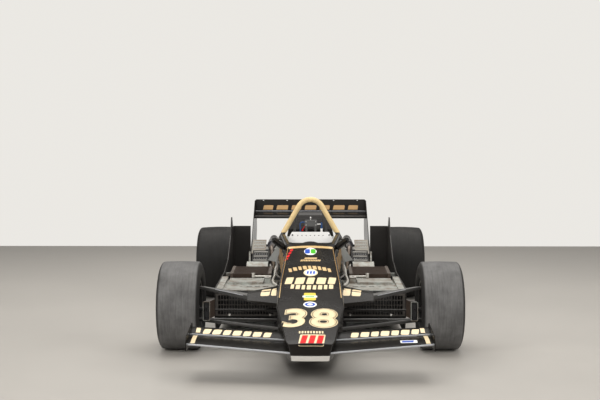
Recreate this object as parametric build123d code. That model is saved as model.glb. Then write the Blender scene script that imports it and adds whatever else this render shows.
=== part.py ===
from build123d import *
import math
import os

# An open wheel racing car of the ground effect years, in millimetres.
# x is across the car, y runs from the nose to the tail, and z is up from the ground.
# A station is a distance behind the front axle, and is negative ahead of it.
# Most pieces are drawn on the +x side and mirrored to the other.

# Overall
wheelbase = 2540
nose_overhang = 1150
tail_overhang = 800
front_axle_y = nose_overhang - (nose_overhang + wheelbase + tail_overhang) / 2
tail_station = wheelbase + tail_overhang
fit_gap = 0.3

# Wheels and tyres
front_track = 1761
rear_track = 1632
front_tyre = dict(radius=300, width=285, tread=176, crown=3, bead_width=236)
rear_tyre = dict(radius=325, width=431, tread=300, crown=11, bead_width=380)
tyre_wall = 9
rim_seat_radius = 165
rim_flange_height = 13
rim_wall = 6
front_wheel_face = 62
rear_wheel_face = 20
wheel_face_thickness = 22
front_disc_offset = 74
rear_disc_offset = 88
wheel_spokes = 4
hub_radius = 46
axle_radius = 22
wheel_nut_radius = 34
disc_radius = 124
disc_thickness = 24

# Body
body_wall = 4
tub_wall = 18
split_slope = 0.125
split_height = 322
floor_edge_radius = 10
tub_end = 1345
nose_end = -473
nose_lip_bottom = 145
nose_lip_height = 31
cockpit_front = 826
coaming_gap = 3
coaming_wall = 3
coaming_top = 654
coaming_end = 930
tank_top = 630
panel_thickness = 6
dash_station = 846
seat_half_width = 165
seat_shell = 12

# Roll hoop and mirrors
hoop_station = tub_end + 35
hoop_top = 957.5
hoop_bend_radius = 108
hoop_foot_height = 10
hoop_lean = math.radians(30)
hoop_tube_radius = 17
hoop_padding_radius = 21
hoop_stay_radius = 11
hoop_stay_foot_x = 140
hoop_stay_top = (98, 896)
padding_bottom = 691
mirror_station = 880
mirror_length = 128
mirror_height = 46

# Side pods
pod_outer = 679
pod_plate = 7
pod_panel = 6
radiator_x = 462
radiator_station = 1116
radiator_height = 362
radiator_width = 270
radiator_length = 350
radiator_thickness = 50
radiator_tilt = 0.057
tank_width = 24
beam_depth = 40
pod_front = 320
tray_height = 350
deflector_station = wheelbase - rear_tyre["radius"] - 50
deflector_top = 686
fin_top = 777
tunnel_outer = 530
roof_inner = 400
roof_sheet = 5
tunnel_wall_end = deflector_station + 255

# Wings
front_wing_root = 100
wing_plate = 5
front_wing_tip = front_track / 2 - front_tyre["width"] / 2 - wing_plate - 2
rear_wing_half_span = 535
rear_wing_top = 868
rear_wing_height = 705

# Steering
kingpin_offset = 95.5
kingpin_low = (front_track / 2 - kingpin_offset, 0, 200)
kingpin_high = (kingpin_low[0] - 20, 0, 420)
joint_radius = 14
rack_station = 100
rack_height = 250
rack_bar_radius = 15
rack_bush_radius = 20
rack_bar_end = 300
track_rod_radius = 8
track_pin_x = kingpin_low[0] - 5
pin_radius = 7
eye_clearance = 5
arm_lift = 27
column_start = Vector(0, front_axle_y + 142, 290)
column_end = Vector(0, front_axle_y + 905, 530)
spoke_angles = (0, 90, 180)
column_radius = 9
steering_wheel_radius = 127
grip_radius = 11
rocker_pivot_x = 432
duct_x = kingpin_low[0] - 85
duct_width = 40
duct_height = 124
duct_z = 276
caliper_radius = 139

# Engine, gearbox and rear suspension
engine_length = 545
engine_to_axle = 280
engine_back = wheelbase - engine_to_axle
engine_front = engine_back - engine_length
gearbox_end = wheelbase + 420
vee_floor = 470
manifold_height = 60
trumpet_x = 54
trumpet_height = 190
trumpet_pitch = 128
screen_top = 806
exhaust_x = 350
exhaust_z = 500
drive_shaft_start = 142
rear_upright_x = rear_track / 2 - 118
damper_station = wheelbase + 110
rear_low_z = 215
rear_high_z = 432


def at(station):
    """The y of a station."""
    return front_axle_y + station


def across(station):
    """The plane across the car at a station, with local x across and local y up."""
    return Plane(origin=(0, at(station), 0), x_dir=(1, 0, 0), z_dir=(0, -1, 0))


def lengthwise(x):
    """The plane along the car at x, with local x as y and local y up."""
    return Plane(origin=(x, 0, 0), x_dir=(0, 1, 0), z_dir=(1, 0, 0))


def point(x, station, z):
    return Vector(x, at(station), z)


def other_side(shape):
    return mirror(shape, about=Plane.YZ)


def both_sides(shape):
    """Two like solids, one on each side."""
    return Compound([*shape.solids(), *other_side(shape).solids()])


def rod(start, end, radius):
    """A round bar from one point to another."""
    along = end - start
    return Part() + Solid.make_cylinder(radius, along.length, Plane(origin=start, z_dir=along.normalized()))


def ball(centre, radius):
    return Pos(*centre) * Sphere(radius)


def slab(x, station, low, width, length, height):
    """A flat box by its middle, its underside and its sizes."""
    box = Box(width, length, height, align=(Align.CENTER, Align.CENTER, Align.MIN))
    return Pos(x, at(station), low) * box


def plate(outline, x, thickness):
    """A plate along the car, outwards from x, with its outline in stations and heights."""
    corners = [(at(station), z) for station, z in outline]
    return extrude(lengthwise(x) * make_face(Polyline(*corners, close=True)), thickness)


def bent_sheet(line, thickness, inner, outer):
    """A sheet that follows a line of stations and heights, from x inner to x outer, with round bends."""
    low = [(at(station), z) for station, z, _ in line]
    radii = [radius for _, _, radius in line[1:-1]]
    under = FilletPolyline(*low, radius=radii)
    over = Pos(0, thickness) * under
    ends = [Line(corner, (corner[0], corner[1] + thickness)) for corner in (low[0], low[-1])]
    face = make_face(under.edges() + over.edges() + ends)
    return extrude(lengthwise(inner) * face, outer - inner)


# Wheels

def tyre(size):
    """A slick tyre round the x axis: crowned tread, round shoulders, full sidewalls and open inside."""
    radius = size["radius"]
    half = size["width"] / 2
    tread = size["tread"] / 2
    bead = size["bead_width"] / 2
    shoulder = radius - size["crown"]
    seat = rim_seat_radius + fit_gap
    flank = seat + 0.42 * (radius - seat)
    lift = rim_flange_height + 2
    corner = ((tread + half) / 2 + 0.18 * (half - tread), shoulder - 0.33 * (shoulder - flank))
    thick = tyre_wall
    upper = [
        ThreePointArc((-tread, shoulder), (0, radius), (tread, shoulder)),
        ThreePointArc((tread, shoulder), corner, (half, flank)),
        ThreePointArc((half, flank), (half - 4, (flank + seat + lift) / 2), (bead, seat + lift)),
        Line((bead, seat + lift), (bead, seat)),
        Line((bead, seat), (bead - 2 * thick, seat)),
        Line((bead - 2 * thick, seat), (bead - thick, seat + lift)),
        ThreePointArc(
            (bead - thick, seat + lift),
            (half - 4 - thick, (flank + seat + lift) / 2),
            (half - thick, flank),
        ),
        ThreePointArc(
            (half - thick, flank),
            (corner[0] - 0.7 * thick, corner[1] - 0.7 * thick),
            (tread, shoulder - thick),
        ),
        ThreePointArc((tread, shoulder - thick), (0, radius - thick), (-tread, shoulder - thick)),
    ]
    mirrored = [mirror(edge, about=Plane.YZ) for edge in upper[1:8]]
    return revolve(make_face(Curve() + upper + mirrored), Axis.X)


def rim(size, face_at):
    """A wheel: a barrel with a drop centre and flanges, and a spoked face set outboard by face_at."""
    bead = size["bead_width"] / 2
    seat = rim_seat_radius
    well = seat - 14
    flange = rim_flange_height
    lip = 5
    barrel = Polyline(
        (-bead - lip, seat + flange),
        (-bead - fit_gap, seat + flange),
        (-bead - fit_gap, seat),
        (-bead + 34, seat),
        (-bead + 48, well),
        (bead - 48, well),
        (bead - 34, seat),
        (bead + fit_gap, seat),
        (bead + fit_gap, seat + flange),
        (bead + lip, seat + flange),
        (bead + lip, seat - rim_wall),
        (bead - 36, seat - rim_wall),
        (bead - 50, well - rim_wall),
        (-bead + 50, well - rim_wall),
        (-bead + 36, seat - rim_wall),
        (-bead - lip, seat - rim_wall),
        close=True,
    )
    wheel = revolve(make_face(barrel), Axis.X)
    face_plane = Plane(origin=(face_at, 0, 0), x_dir=(0, 1, 0), z_dir=(1, 0, 0))
    inside = well - rim_wall / 2
    spokes = Circle(hub_radius + 14)
    for number in range(wheel_spokes):
        angle = math.radians(45 + 360 / wheel_spokes * number)
        turned = Rot(0, 0, math.degrees(angle))
        spokes += turned * make_face(
            Polyline((0, -44), (inside, -30), (inside, 30), (0, 44), close=True)
        )
        spokes -= turned * Pos(0.66 * inside, 0) * SlotOverall(52, 17)
    spokes = spokes & Circle(inside)
    return wheel + extrude(face_plane * spokes, wheel_face_thickness)


def front_hub():
    """A hub round the x axis: axle stub, drive flange, brake disc and wheel nut."""
    face = front_wheel_face
    disc_at = face - front_disc_offset
    hub = turned_bar(axle_radius, -100, face + wheel_face_thickness + 26)
    hub += turned_bar(hub_radius, face - 12, face + 2)
    hub += turned_bar(hub_radius + 18, disc_at - disc_thickness / 2 - 2, disc_at + disc_thickness / 2 + 2)
    hub += turned_bar(disc_radius, disc_at - disc_thickness / 2, disc_at + disc_thickness / 2)
    hub += wheel_nut(face + wheel_face_thickness - 2)
    return hub


def rear_hub():
    """A hub like the front one, with a drive shaft that runs in to the gearbox, along the x axis."""
    face = rear_wheel_face
    disc_at = face - rear_disc_offset
    hub = turned_bar(axle_radius, drive_shaft_start - rear_track / 2, face + wheel_face_thickness + 26)
    hub += turned_bar(hub_radius, face - 12, face + 2)
    hub += turned_bar(hub_radius + 18, disc_at - disc_thickness / 2 - 2, disc_at + disc_thickness / 2 + 2)
    hub += turned_bar(disc_radius, disc_at - disc_thickness / 2, disc_at + disc_thickness / 2)
    hub += turned_bar(44, drive_shaft_start - rear_track / 2, drive_shaft_start + 58 - rear_track / 2)
    hub += turned_bar(44, disc_at - 140, disc_at - 90)
    hub += wheel_nut(face + wheel_face_thickness - 2)
    return hub


def turned_bar(radius, start, end):
    """A round bar on the x axis."""
    return rod(Vector(start, 0, 0), Vector(end, 0, 0), radius)


def wheel_nut(start):
    nut_plane = Plane(origin=(start, 0, 0), x_dir=(0, 1, 0), z_dir=(1, 0, 0))
    return extrude(nut_plane * RegularPolygon(wheel_nut_radius, 6), 20)


def wheel_set(size, station, track, face_at, hub, corner_name):
    """The tyre and the wheel, with its hub and brake disc, on both ends of one axle."""
    pieces = {}
    place = Pos(track / 2, at(station), size["radius"])
    for kind, shape in (("tyre", tyre(size)), ("wheel", rim(size, face_at) + hub)):
        piece = place * shape
        pieces[f"{corner_name}_left_{kind}"] = piece
        pieces[f"{corner_name}_right_{kind}"] = other_side(piece)
    return pieces


# Body

# station, floor half width, deck half width, floor height, deck height, deck crown, deck edge radius
nose_sections = [
    (-1140, 108, 112, 146, 178, 2, 6),
    (-1095, 118, 131, 141, 237, 3, 7),
    (-1035, 128, 150, 134, 250, 4, 8),
    (-799, 150, 175, 110, 298, 5, 9),
    (nose_end, 190, 218, 80, 364, 6, 10),
]
tub_sections = [
    (nose_end, 190, 218, 80, 364, 6, 10),
    (0, 236, 216, 62, 461, 8, 34),
    (400, 262, 199, 60, 543, 10, 32),
    (810, 276, 186, 60, 627, 12, 26),
    (840, 277, 190, 60, 650, 10, 18),
    (tub_end, 290, 240, 60, 684, 4, 16),
]


def body_section(row, inset=0):
    """One cross section of the body: flat floor, leaning sides and a crowned deck with round edges."""
    station, floor, deck, floor_z, deck_z, crown, edge = row
    floor, deck = floor - inset, deck - inset
    floor_z, deck_z = floor_z + inset, deck_z - inset
    high = deck_z - crown
    outline = [
        Line((-floor, floor_z), (floor, floor_z)),
        Line((floor, floor_z), (deck, high)),
        ThreePointArc((deck, high), (0, deck_z), (-deck, high)),
        Line((-deck, high), (-floor, floor_z)),
    ]
    face = make_face(Curve() + outline)
    corners = face.vertices().sort_by(Axis.Y)
    face = fillet(corners[-2:], max(edge - inset, 2))
    face = fillet(face.vertices().sort_by(Axis.Y)[:2], floor_edge_radius)
    return across(station) * face


def body_loft(rows, inset=0, ends=0):
    """A loft through body sections. Ends moves the first and last section, outwards if positive."""
    rows = [list(row) for row in rows]
    rows[0][0] -= ends
    rows[-1][0] += ends
    return loft([body_section(row, inset) for row in rows], ruled=True)


def above_split():
    """The space above the joint between the tub and the upper cowl."""
    back = tub_end + 100
    front = nose_end - 100
    heights = [split_height + split_slope * station for station in (front, back)]
    outline = [(front, heights[0]), (back, heights[1]), (back, 1200), (front, 1200)]
    return plate(outline, -500, 1000)


def nose_cone(nose):
    """The hollow nose, open at its back."""
    return nose - body_loft(nose_sections[1:], inset=body_wall, ends=1)


def nose_lip(nose):
    """The bright rubbing strip round the nose tip."""
    front, side, back, half = -nose_overhang, 5 - nose_overhang, -1100, 113
    corners = [(-half, at(side)), (-half, at(back)), (half, at(back)), (half, at(side))]
    curve = [Line(corners[index], corners[index + 1]) for index in range(3)]
    curve.append(ThreePointArc(corners[3], (0, at(front)), corners[0]))
    face = Pos(0, 0, nose_lip_bottom + nose_lip_height) * make_face(Curve() + curve)
    lip = extrude(face, -nose_lip_height, taper=8)
    return lip - nose


def cockpit_outline():
    """The cockpit opening seen from above."""
    half = [(132, cockpit_front), (160, 900), (186, 1120), (208, tub_end + 20)]
    corners = [(x, at(s)) for x, s in half]
    corners += [(-x, y) for x, y in reversed(corners)]
    face = make_face(Polyline(*corners, close=True))
    return fillet(face.vertices().sort_by(Axis.Y)[:2], 26)


def upper_cowl(outside):
    inside = body_loft(tub_sections, inset=body_wall, ends=5)
    cowl = (outside & above_split()) - inside
    return cowl - extrude(Pos(0, 0, 300) * cockpit_outline(), 600)


def coaming(outside):
    """The low dark screen round the front of the cockpit."""
    ring = offset(cockpit_outline(), coaming_gap + coaming_wall) - offset(cockpit_outline(), coaming_gap)
    screen = extrude(Pos(0, 0, 560) * ring, coaming_top - 560)
    back = at(coaming_end)
    screen = split(screen, Plane(origin=(0, back, 0), z_dir=(0, 1, 0)), keep=Keep.BOTTOM)
    return screen - outside


def tub(outside):
    """The monocoque: a thick floor, sides and ends, open above the joint."""
    inside = body_loft(tub_sections, inset=tub_wall, ends=-tub_wall)
    trough = outside - inside - above_split()
    return trough - rack_bar(tub_sections[-1][1], rack_bush_radius)


def tub_floor_top(station):
    """The height of the inside floor of the tub."""
    for first, last in zip(tub_sections, tub_sections[1:]):
        if first[0] <= station <= last[0]:
            share = (station - first[0]) / (last[0] - first[0])
            return first[3] + share * (last[3] - first[3]) + tub_wall
    return tub_sections[-1][3] + tub_wall


def fuel_tank():
    """The tank bay behind the seat."""
    half = [(tub_sections[-1][1], 60), (280, tank_top - 60), (268, tank_top)]
    corners = half + [(-x, z) for x, z in reversed(half)]
    face = make_face(Polyline(*corners, close=True))
    face = fillet(face.vertices().sort_by(Axis.Y)[-4:], 10)
    tank = extrude(across(engine_front) * face, engine_front - tub_end)
    for side in (-1, 1):
        gusset = [(side * x, z) for x, z in ((255, 582), (268, 582), (345, 466), (262, 446))]
        tank += extrude(across(tub_end + 12) * make_face(Polyline(*gusset, close=True)), panel_thickness)
    return tank


def rocker_housing(outside):
    """The tapered box beside the tub that carries the upper arm's pivot."""
    inner = [(-110, 296), (-96, 322), (60, 404), (175, 418), (175, 292)]
    outer = [(-58, 332), (-50, 340), (20, 374), (92, 378), (92, 330)]
    faces = []
    for x, outline in ((190, inner), (rocker_pivot_x, outer)):
        corners = [(at(s), z) for s, z in outline]
        faces.append(lengthwise(x) * make_face(Polyline(*corners, close=True)))
    return loft(faces, ruled=True) - outside


# Cockpit

def seat():
    """A moulded seat: a flat base and a leaning back with raised sides."""
    low = tub_sections[-1][3] + tub_wall + fit_gap
    line = [(700, low + 66, 0), (900, low, 120), (1120, low, 90), (1262, 600, 0)]
    pan = bent_sheet(line, seat_shell, -seat_half_width, seat_half_width)
    back_side = [(1010, low + 30), (1140, low + 30), (1247, 520), (1180, 520), (1090, 260)]
    side = plate(back_side, seat_half_width, seat_shell)
    return pan + side + other_side(side)


def seat_back_panel():
    """The white panel behind the driver's shoulders, with a row of dimples."""
    half = [(198, 470), (198, 604), (150, 698)]
    corners = half + [(-x, z) for x, z in reversed(half)]
    face = make_face(Polyline(*corners, close=True))
    face = fillet(face.vertices().sort_by(Axis.Y)[-2:], 14)
    back = tub_end - tub_wall - fit_gap
    panel = extrude(across(back) * face, panel_thickness)
    front = back - panel_thickness
    for number in range(-3, 4):
        panel -= Pos(number * 34, at(front), 668) * Sphere(7)
    return panel


def dash():
    """The instrument panel, shaped to the inside of the cowl, with a hole for the steering column."""
    inside = body_loft(tub_sections, inset=body_wall + fit_gap)
    slab = Pos(0, at(dash_station), 555) * Box(500, 10, 190)
    panel = slab & inside
    return panel - rod(column_start, column_end, column_radius + fit_gap)


def steering_wheel():
    """The wheel, its three spokes, boss and column, all on the column's axis."""
    along = (column_end - column_start).normalized()
    plane = Plane(origin=column_end, x_dir=(1, 0, 0), z_dir=along)
    grip = plane * Torus(steering_wheel_radius, grip_radius)
    column = rod(column_start, column_end, column_radius)
    boss = plane * Cylinder(30, 24)
    spokes = Sketch()
    for angle in spoke_angles:
        spokes += Rot(0, 0, angle) * Pos(steering_wheel_radius / 2, 0) * Rectangle(steering_wheel_radius, 26)
    return grip + column + boss + extrude(plane * spokes, 4)


def rack_bar(reach, radius):
    """A round bar on the rack's axis, as far as reach on both sides."""
    return rod(point(-reach, rack_station, rack_height), point(reach, rack_station, rack_height), radius)


def rack_housing():
    """The fixed tube that the rack slides in, with the pinion's boss and two feet on the tub's floor."""
    housing = rack_bar(130, rack_bar_radius + 11)
    along = (column_end - column_start).normalized()
    housing += rod(column_start - along * 28, column_start + along * 26, column_radius + 9)
    floor = tub_floor_top(rack_station) + fit_gap
    for x in (-100, 100):
        housing += slab(x, rack_station, floor, 24, 46, rack_height - floor)
    housing -= rack_bar(140, rack_bar_radius + fit_gap)
    return housing - rod(column_start, column_end, column_radius + fit_gap)


def steering_rack():
    """The rack bar with a track rod and an eye at each end, all in one line."""
    bar = rack_bar(rack_bar_end, rack_bar_radius) + rack_bar(track_pin_x, track_rod_radius)
    for x in (-track_pin_x, track_pin_x):
        bar += Pos(x, at(rack_station), rack_height) * Cylinder(pin_radius + eye_clearance + 7, 20)
        bar -= Pos(x, at(rack_station), rack_height) * Cylinder(pin_radius + eye_clearance, 40)
    return bar


def roll_hoop():
    """The roll hoop with its feet on the tank and two stays that run back to the tank's rear edge."""
    hoop = sweep(hoop_section(hoop_tube_radius), hoop_path())
    for side in (-1, 1):
        hoop += slab(side * (hoop_foot()[0] - 6), hoop_station, tank_top, 52, 64, hoop_foot_height)
        hoop += hoop_stay(side, hoop_stay_radius)
        hoop += slab(side * hoop_stay_foot_x, engine_front - 60, tank_top, 50, 50, hoop_foot_height)
    return hoop


def hoop_stay(side, radius):
    x, z = hoop_stay_top
    foot = point(side * hoop_stay_foot_x, engine_front - 60, tank_top + hoop_foot_height)
    return rod(point(side * x, hoop_station, z), foot, radius)


def hoop_bend_end():
    """Where the round top of the hoop's centre line meets a leg."""
    middle = hoop_top - hoop_bend_radius
    return hoop_bend_radius * math.cos(hoop_lean), middle + hoop_bend_radius * math.sin(hoop_lean)


def hoop_foot():
    """The foot of the hoop's centre line, straight down the leg from the bend."""
    x, z = hoop_bend_end()
    foot_z = tank_top + hoop_foot_height
    return x + math.tan(hoop_lean) * (z - foot_z), foot_z


def hoop_path():
    """The hoop's centre line: leaning straight legs joined by a round top."""
    foot, bend = hoop_foot(), hoop_bend_end()
    edges = [
        Line(foot, bend),
        ThreePointArc(bend, (0, hoop_top), (-bend[0], bend[1])),
        Line((-bend[0], bend[1]), (-foot[0], foot[1])),
    ]
    return across(hoop_station) * (Curve() + edges)


def hoop_section(radius):
    path = hoop_path()
    start = path @ 0
    return Plane(origin=start, z_dir=path % 0) * Circle(radius)


def hoop_padding():
    """The thick padding round the top and legs of the hoop."""
    path = hoop_path()
    ring = hoop_section(hoop_padding_radius) - hoop_section(hoop_tube_radius)
    cover = sweep(ring, path)
    cover = cover & slab(0, hoop_station, padding_bottom, 700, 200, 500)
    for side in (-1, 1):
        cover -= hoop_stay(side, hoop_stay_radius + fit_gap)
    return cover


def mirror_pod(outside):
    """A mirror housing that grows out of the cowl's side, hollow behind its glass."""
    shell_plane = Plane(origin=point(243, mirror_station, 642), x_dir=(102, 0, 77), z_dir=(0, -1, 0))
    housing = extrude(shell_plane * SlotOverall(mirror_length, mirror_height), 62, taper=14)
    recess = extrude(shell_plane * SlotOverall(mirror_length - 8, mirror_height - 8), 6)
    return housing - recess - outside


# Engine and gearbox

def engine_block():
    """A plain vee engine block: sump, crankcase and two leaning heads round an open vee."""
    half = [(130, 82), (165, 230), (262, 372), (214, 520), (150, 486), (96, 470)]
    corners = half + [(-x, z) for x, z in reversed(half)]
    face = make_face(Polyline(*corners, close=True))
    return extrude(across(engine_back) * face, engine_length)


def head_plane(station):
    """A plane on the sloping top of the +x head, facing up and out."""
    low, high = Vector(262, 0, 372), Vector(214, 0, 520)
    slope = (high - low).normalized()
    outwards = Vector(slope.Z, 0, -slope.X)
    return Plane(origin=point(238, station, 446), x_dir=(0, 1, 0), z_dir=outwards)


def cam_cover():
    """A long cover with round ends on the outer face of a head."""
    plane = head_plane(engine_front + engine_length / 2)
    cover = extrude(plane * RectangleRounded(engine_length - 60, 120, 22), 46, taper=6)
    return cover


def trumpet_places():
    middle = engine_front + engine_length / 2
    return [(x, middle + trumpet_pitch * (row - 1.5)) for x in (-trumpet_x, trumpet_x) for row in range(4)]


def intake_trumpets():
    """The manifold in the vee with eight intake trumpets, open at the top."""
    shape = slab(0, engine_front + engine_length / 2, vee_floor, 180, engine_length - 50, manifold_height)
    outer = [(0, 0), (24, 0), (24, 60), (27, 110), (40, trumpet_height)]
    inner = [(36, trumpet_height), (21, 60), (21, 10), (0, 10)]
    horn = revolve(Plane.XZ * make_face(Polyline(*outer, *inner, close=True)), Axis.Z)
    for x, station in trumpet_places():
        shape += Pos(x, at(station), vee_floor + manifold_height) * horn
    return shape


def intake_screen():
    """The gauze guard over the trumpets: a tapered hood on a tray that the trumpets carry."""
    station = engine_front + engine_length / 2
    middle = at(station)
    length = engine_length - 40
    tray_z = vee_floor + manifold_height + trumpet_height - 34
    width, wall, lean = 375, 4, 24.7
    tray = slab(0, station, tray_z, width, length, wall)
    for x, station in trumpet_places():
        tray -= Pos(x, at(station), tray_z) * Cylinder(36, 40)
    foot = Pos(0, middle, tray_z + wall)
    height = screen_top - tray_z - wall
    outer = extrude(foot * Rectangle(width, length), height, taper=lean)
    inner = extrude(foot * Rectangle(width - 2 * wall, length - 2 * wall), height - wall, taper=lean)
    return tray + (outer - inner)


def metering_box():
    """The fuel metering unit in front of the trumpets, a rounded box on two legs."""
    middle, station, low = 4.5, engine_front - 30, 718
    box = slab(middle, station, low, 104, 58, 52)
    box = fillet(box.edges().filter_by(Axis.Y), 8)
    for x in (middle - 38, middle + 38):
        box += slab(x, station, tank_top, 15, 34, low - tank_top)
    return box


def exhaust(block):
    """Four primary pipes from one bank into a collector and tailpipe."""
    pitch = (engine_length - 130) / 3
    shape = rod(point(exhaust_x, engine_back + 70, exhaust_z), point(exhaust_x, gearbox_end, exhaust_z), 38)
    for row in range(4):
        start = engine_front + 70 + pitch * row
        spread = 9 * (row - 1.5)
        points = [
            point(200, start, 300),
            point(318 + spread, start + 6, 318),
            point(exhaust_x + spread, start + 120, exhaust_z + 10 * (1.5 - row)),
            point(exhaust_x + spread, engine_back + 85, exhaust_z + 10 * (1.5 - row)),
        ]
        shape += tube_along(points, [46, 46], 19)
    bore_start, bore_end = gearbox_end - 260, gearbox_end + 1
    bore = rod(point(exhaust_x, bore_start, exhaust_z), point(exhaust_x, bore_end, exhaust_z), 34)
    return shape - bore - block


def tube_along(points, radii, radius):
    """A bar that follows points with round bends."""
    path = FilletPolyline(*points, radius=radii)
    section = Plane(origin=path @ 0, z_dir=path % 0) * Circle(radius)
    return sweep(section, path)


# station, half width, bottom, top, corner radius
gearbox_sections = [
    (engine_back, 185, 140, 520, 40),
    (engine_back + 140, 122, 160, 470, 36),
    (wheelbase + 110, 112, 176, 440, 30),
    (gearbox_end, 84, 200, 420, 26),
]


def gearbox():
    """The bell housing and gearbox case, with an output boss on each side."""
    faces = []
    for station, half, low, high, corner in gearbox_sections:
        middle = Pos(0, (low + high) / 2) * RectangleRounded(2 * half, high - low, corner)
        faces.append(across(station) * middle)
    case = loft(faces, ruled=True)
    reach = drive_shaft_start - fit_gap
    axle_height = rear_tyre["radius"]
    case += rod(point(-reach, wheelbase, axle_height), point(reach, wheelbase, axle_height), 52)
    return case


# Side pods

pod_plate_outline = [
    (pod_front, 159),
    (pod_front, 338),
    (pod_front + 30, 372),
    (1150, 392),
    (deflector_station - 665, 450),
    (deflector_station - 365, 630),
    (deflector_station - 265, fin_top),
    (deflector_station - 205, fin_top),
    (deflector_station - 125, deflector_top),
    (deflector_station, deflector_top),
    (deflector_station, 60),
    (deflector_station - 65, 34),
    (pod_front + 140, 34),
    (pod_front + 80, 60),
]


def pod_side_plate():
    """The outer wall of a pod, with its skirt and the fin at its back."""
    return plate(pod_plate_outline, pod_outer, pod_plate)


def pod_floor(body):
    """The curved underside of a pod, from its front lip down to the throat and up at the back."""
    front, throat = pod_front + 2, deflector_station - 765
    line = [(front, 165, 0), (front + 318, 75, 500), (throat, 75, 900), (deflector_station, 300, 0)]
    return bent_sheet(line, pod_panel, 200, pod_outer) - body


def pod_grille(body):
    """The pod's intake: a frame with a grid of slats."""
    low, high, middle = 171, 330, 450
    outline = Pos(middle, (low + high) / 2) * Rectangle(2 * (pod_outer - middle), high - low)
    frame = extrude(across(pod_front + 24) * outline, 12)
    count, rows = 20, 4
    pitch = (pod_outer - 16 - 262) / count
    row_pitch = (high - low - 16) / rows
    holes = Sketch()
    for column in range(count):
        for row in range(rows):
            centre = (262 + pitch * (column + 0.5), low + 8 + row_pitch * (row + 0.5))
            holes += Pos(*centre) * Rectangle(pitch - 4, row_pitch - 4)
    return frame - extrude(across(pod_front + 30) * holes, 30) - body


# x, station, width and length of the cut-outs in a pod's tray
tray_cuts = [
    (330, 540, 40, 45), (390, 540, 40, 45), (450, 540, 40, 45), (510, 540, 24, 24), (457, 646, 54, 10),
]
# x of the tray's three-cornered cut-outs
tray_corner_cuts = [505, 565]


def pod_tray(body):
    """The pale riveted tray behind the intake: a cut sheet, a raised pan, a rail and a small pump box."""
    middle, depth = 465, 520
    tray = slab(middle, 610, tray_height, 2 * (pod_outer - middle), depth, pod_panel)
    cuts = Sketch()
    for x, station, width, length in tray_cuts:
        cuts += Pos(x, at(station)) * Rectangle(width, length)
    for x in tray_corner_cuts:
        corners = [(x + 22, at(652)), (x - 12, at(652)), (x - 22, at(600))]
        cuts += make_face(Polyline(*corners, close=True))
    tray -= extrude(Pos(0, 0, tray_height - 10) * cuts, 30)
    top = tray_height + pod_panel
    pan_front, pan_back = 665, radiator_station - radiator_length / 2 - 16
    pan_middle, pan_depth = (pan_front + pan_back) / 2, pan_back - pan_front
    pan_x, pan_width = 485, 264
    tray += slab(pan_x, pan_middle, top, pan_width, pan_depth, 16)
    tray -= slab(pan_x, pan_middle, top, pan_width - 8, pan_depth - 8, 13)
    tray += slab(322, pan_middle, top, 46, 120, 38)
    rail = plate([(350, top), (350, top + 8), (pan_back, 384), (pan_back, top)], pod_outer - 46, 46)
    return tray + rail - body


def beam_top(offset_y):
    """The height of a cross beam under the radiator, at its forward edge."""
    return radiator_height + radiator_tilt * (offset_y - beam_depth / 2) - fit_gap


def pod_beams(body):
    """The cross beams of the pod, from the tub to the outer plate. The rear one carries a pale shelf."""
    beams = []
    depth, brace_radius = 26, 8
    for end in (-1, 1):
        offset_y = end * (radiator_length / 2 - 10)
        low = beam_top(offset_y) - depth
        beam = slab(420, radiator_station + offset_y, low, 2 * (pod_outer - 420), beam_depth, depth) - body
        if end > 0:
            back = radiator_station + radiator_length / 2
            foot = low + depth
            line = [(back + 5, foot - 4, 0), (back + 14, 410, 6), (duct_start - fit_gap, 444, 0)]
            beam += bent_sheet(line, 5, 345, 518)
            brace_end = point(540, deflector_station - 6 - 3 * fit_gap, 452)
            beam += rod(point(494, duct_start - 14, 431), brace_end, brace_radius)
        beams.append(beam)
    return beams


def radiator_plane():
    """The plane under the radiator core, which lies back at a shallow angle on the beams."""
    middle = point(radiator_x, radiator_station, radiator_height)
    return Plane(origin=middle, x_dir=(1, 0, 0), z_dir=(0, -radiator_tilt, 1))


def radiator_core():
    """The finned core, a block with grooves across its top."""
    plane = radiator_plane()
    core = extrude(plane * Rectangle(radiator_width, radiator_length), radiator_thickness)
    pitch = 28
    count = int(radiator_length / pitch)
    grooves = Sketch()
    for number in range(count):
        grooves += Pos(0, pitch * (number - (count - 1) / 2)) * Rectangle(radiator_width - 20, 8)
    top = plane.offset(radiator_thickness - 6)
    return core - extrude(top * grooves, 10)


def radiator_tanks():
    """The end tanks of the core. The inner one has a header pipe along the front with a filler cap."""
    plane = radiator_plane()
    reach = (radiator_width + tank_width) / 2
    tanks = []
    outline = RectangleRounded(tank_width, radiator_length, 8)
    for x in (-reach, reach):
        tanks.append(extrude(plane * Pos(x, 0) * outline, radiator_thickness + 4))
    front = radiator_station - radiator_length / 2
    inner, ahead, pipe_z = radiator_x - reach, front - 15, 385
    cap, corner = point(440, ahead, pipe_z), point(inner, ahead, pipe_z)
    tanks[0] += rod(cap, corner, 7) + ball(corner, 8) + rod(corner, point(inner, front + 12, pipe_z), 7)
    tanks[0] += rod(cap - Vector(0, 0, 8), cap + Vector(0, 0, 20), 11)
    return tanks


duct_start = radiator_station + radiator_length / 2 + 109


def pod_duct(body):
    """The black box behind the radiator, on a shelf from the tub."""
    back = duct_start + 220
    outline = [(duct_start, 330), (duct_start, 446), (back, 520), (back, 330)]
    wall = 8
    hollow = [(s, z + (wall if z < 400 else -wall)) for s, z in outline]
    box = plate(outline, 340, 140) - plate(hollow, 340 + wall, 140 - 2 * wall)
    shelf = plate([(duct_start, 322), (back, 322), (back, 330), (duct_start, 330)], 200, pod_outer - 200)
    return box + (shelf - body)


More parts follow.
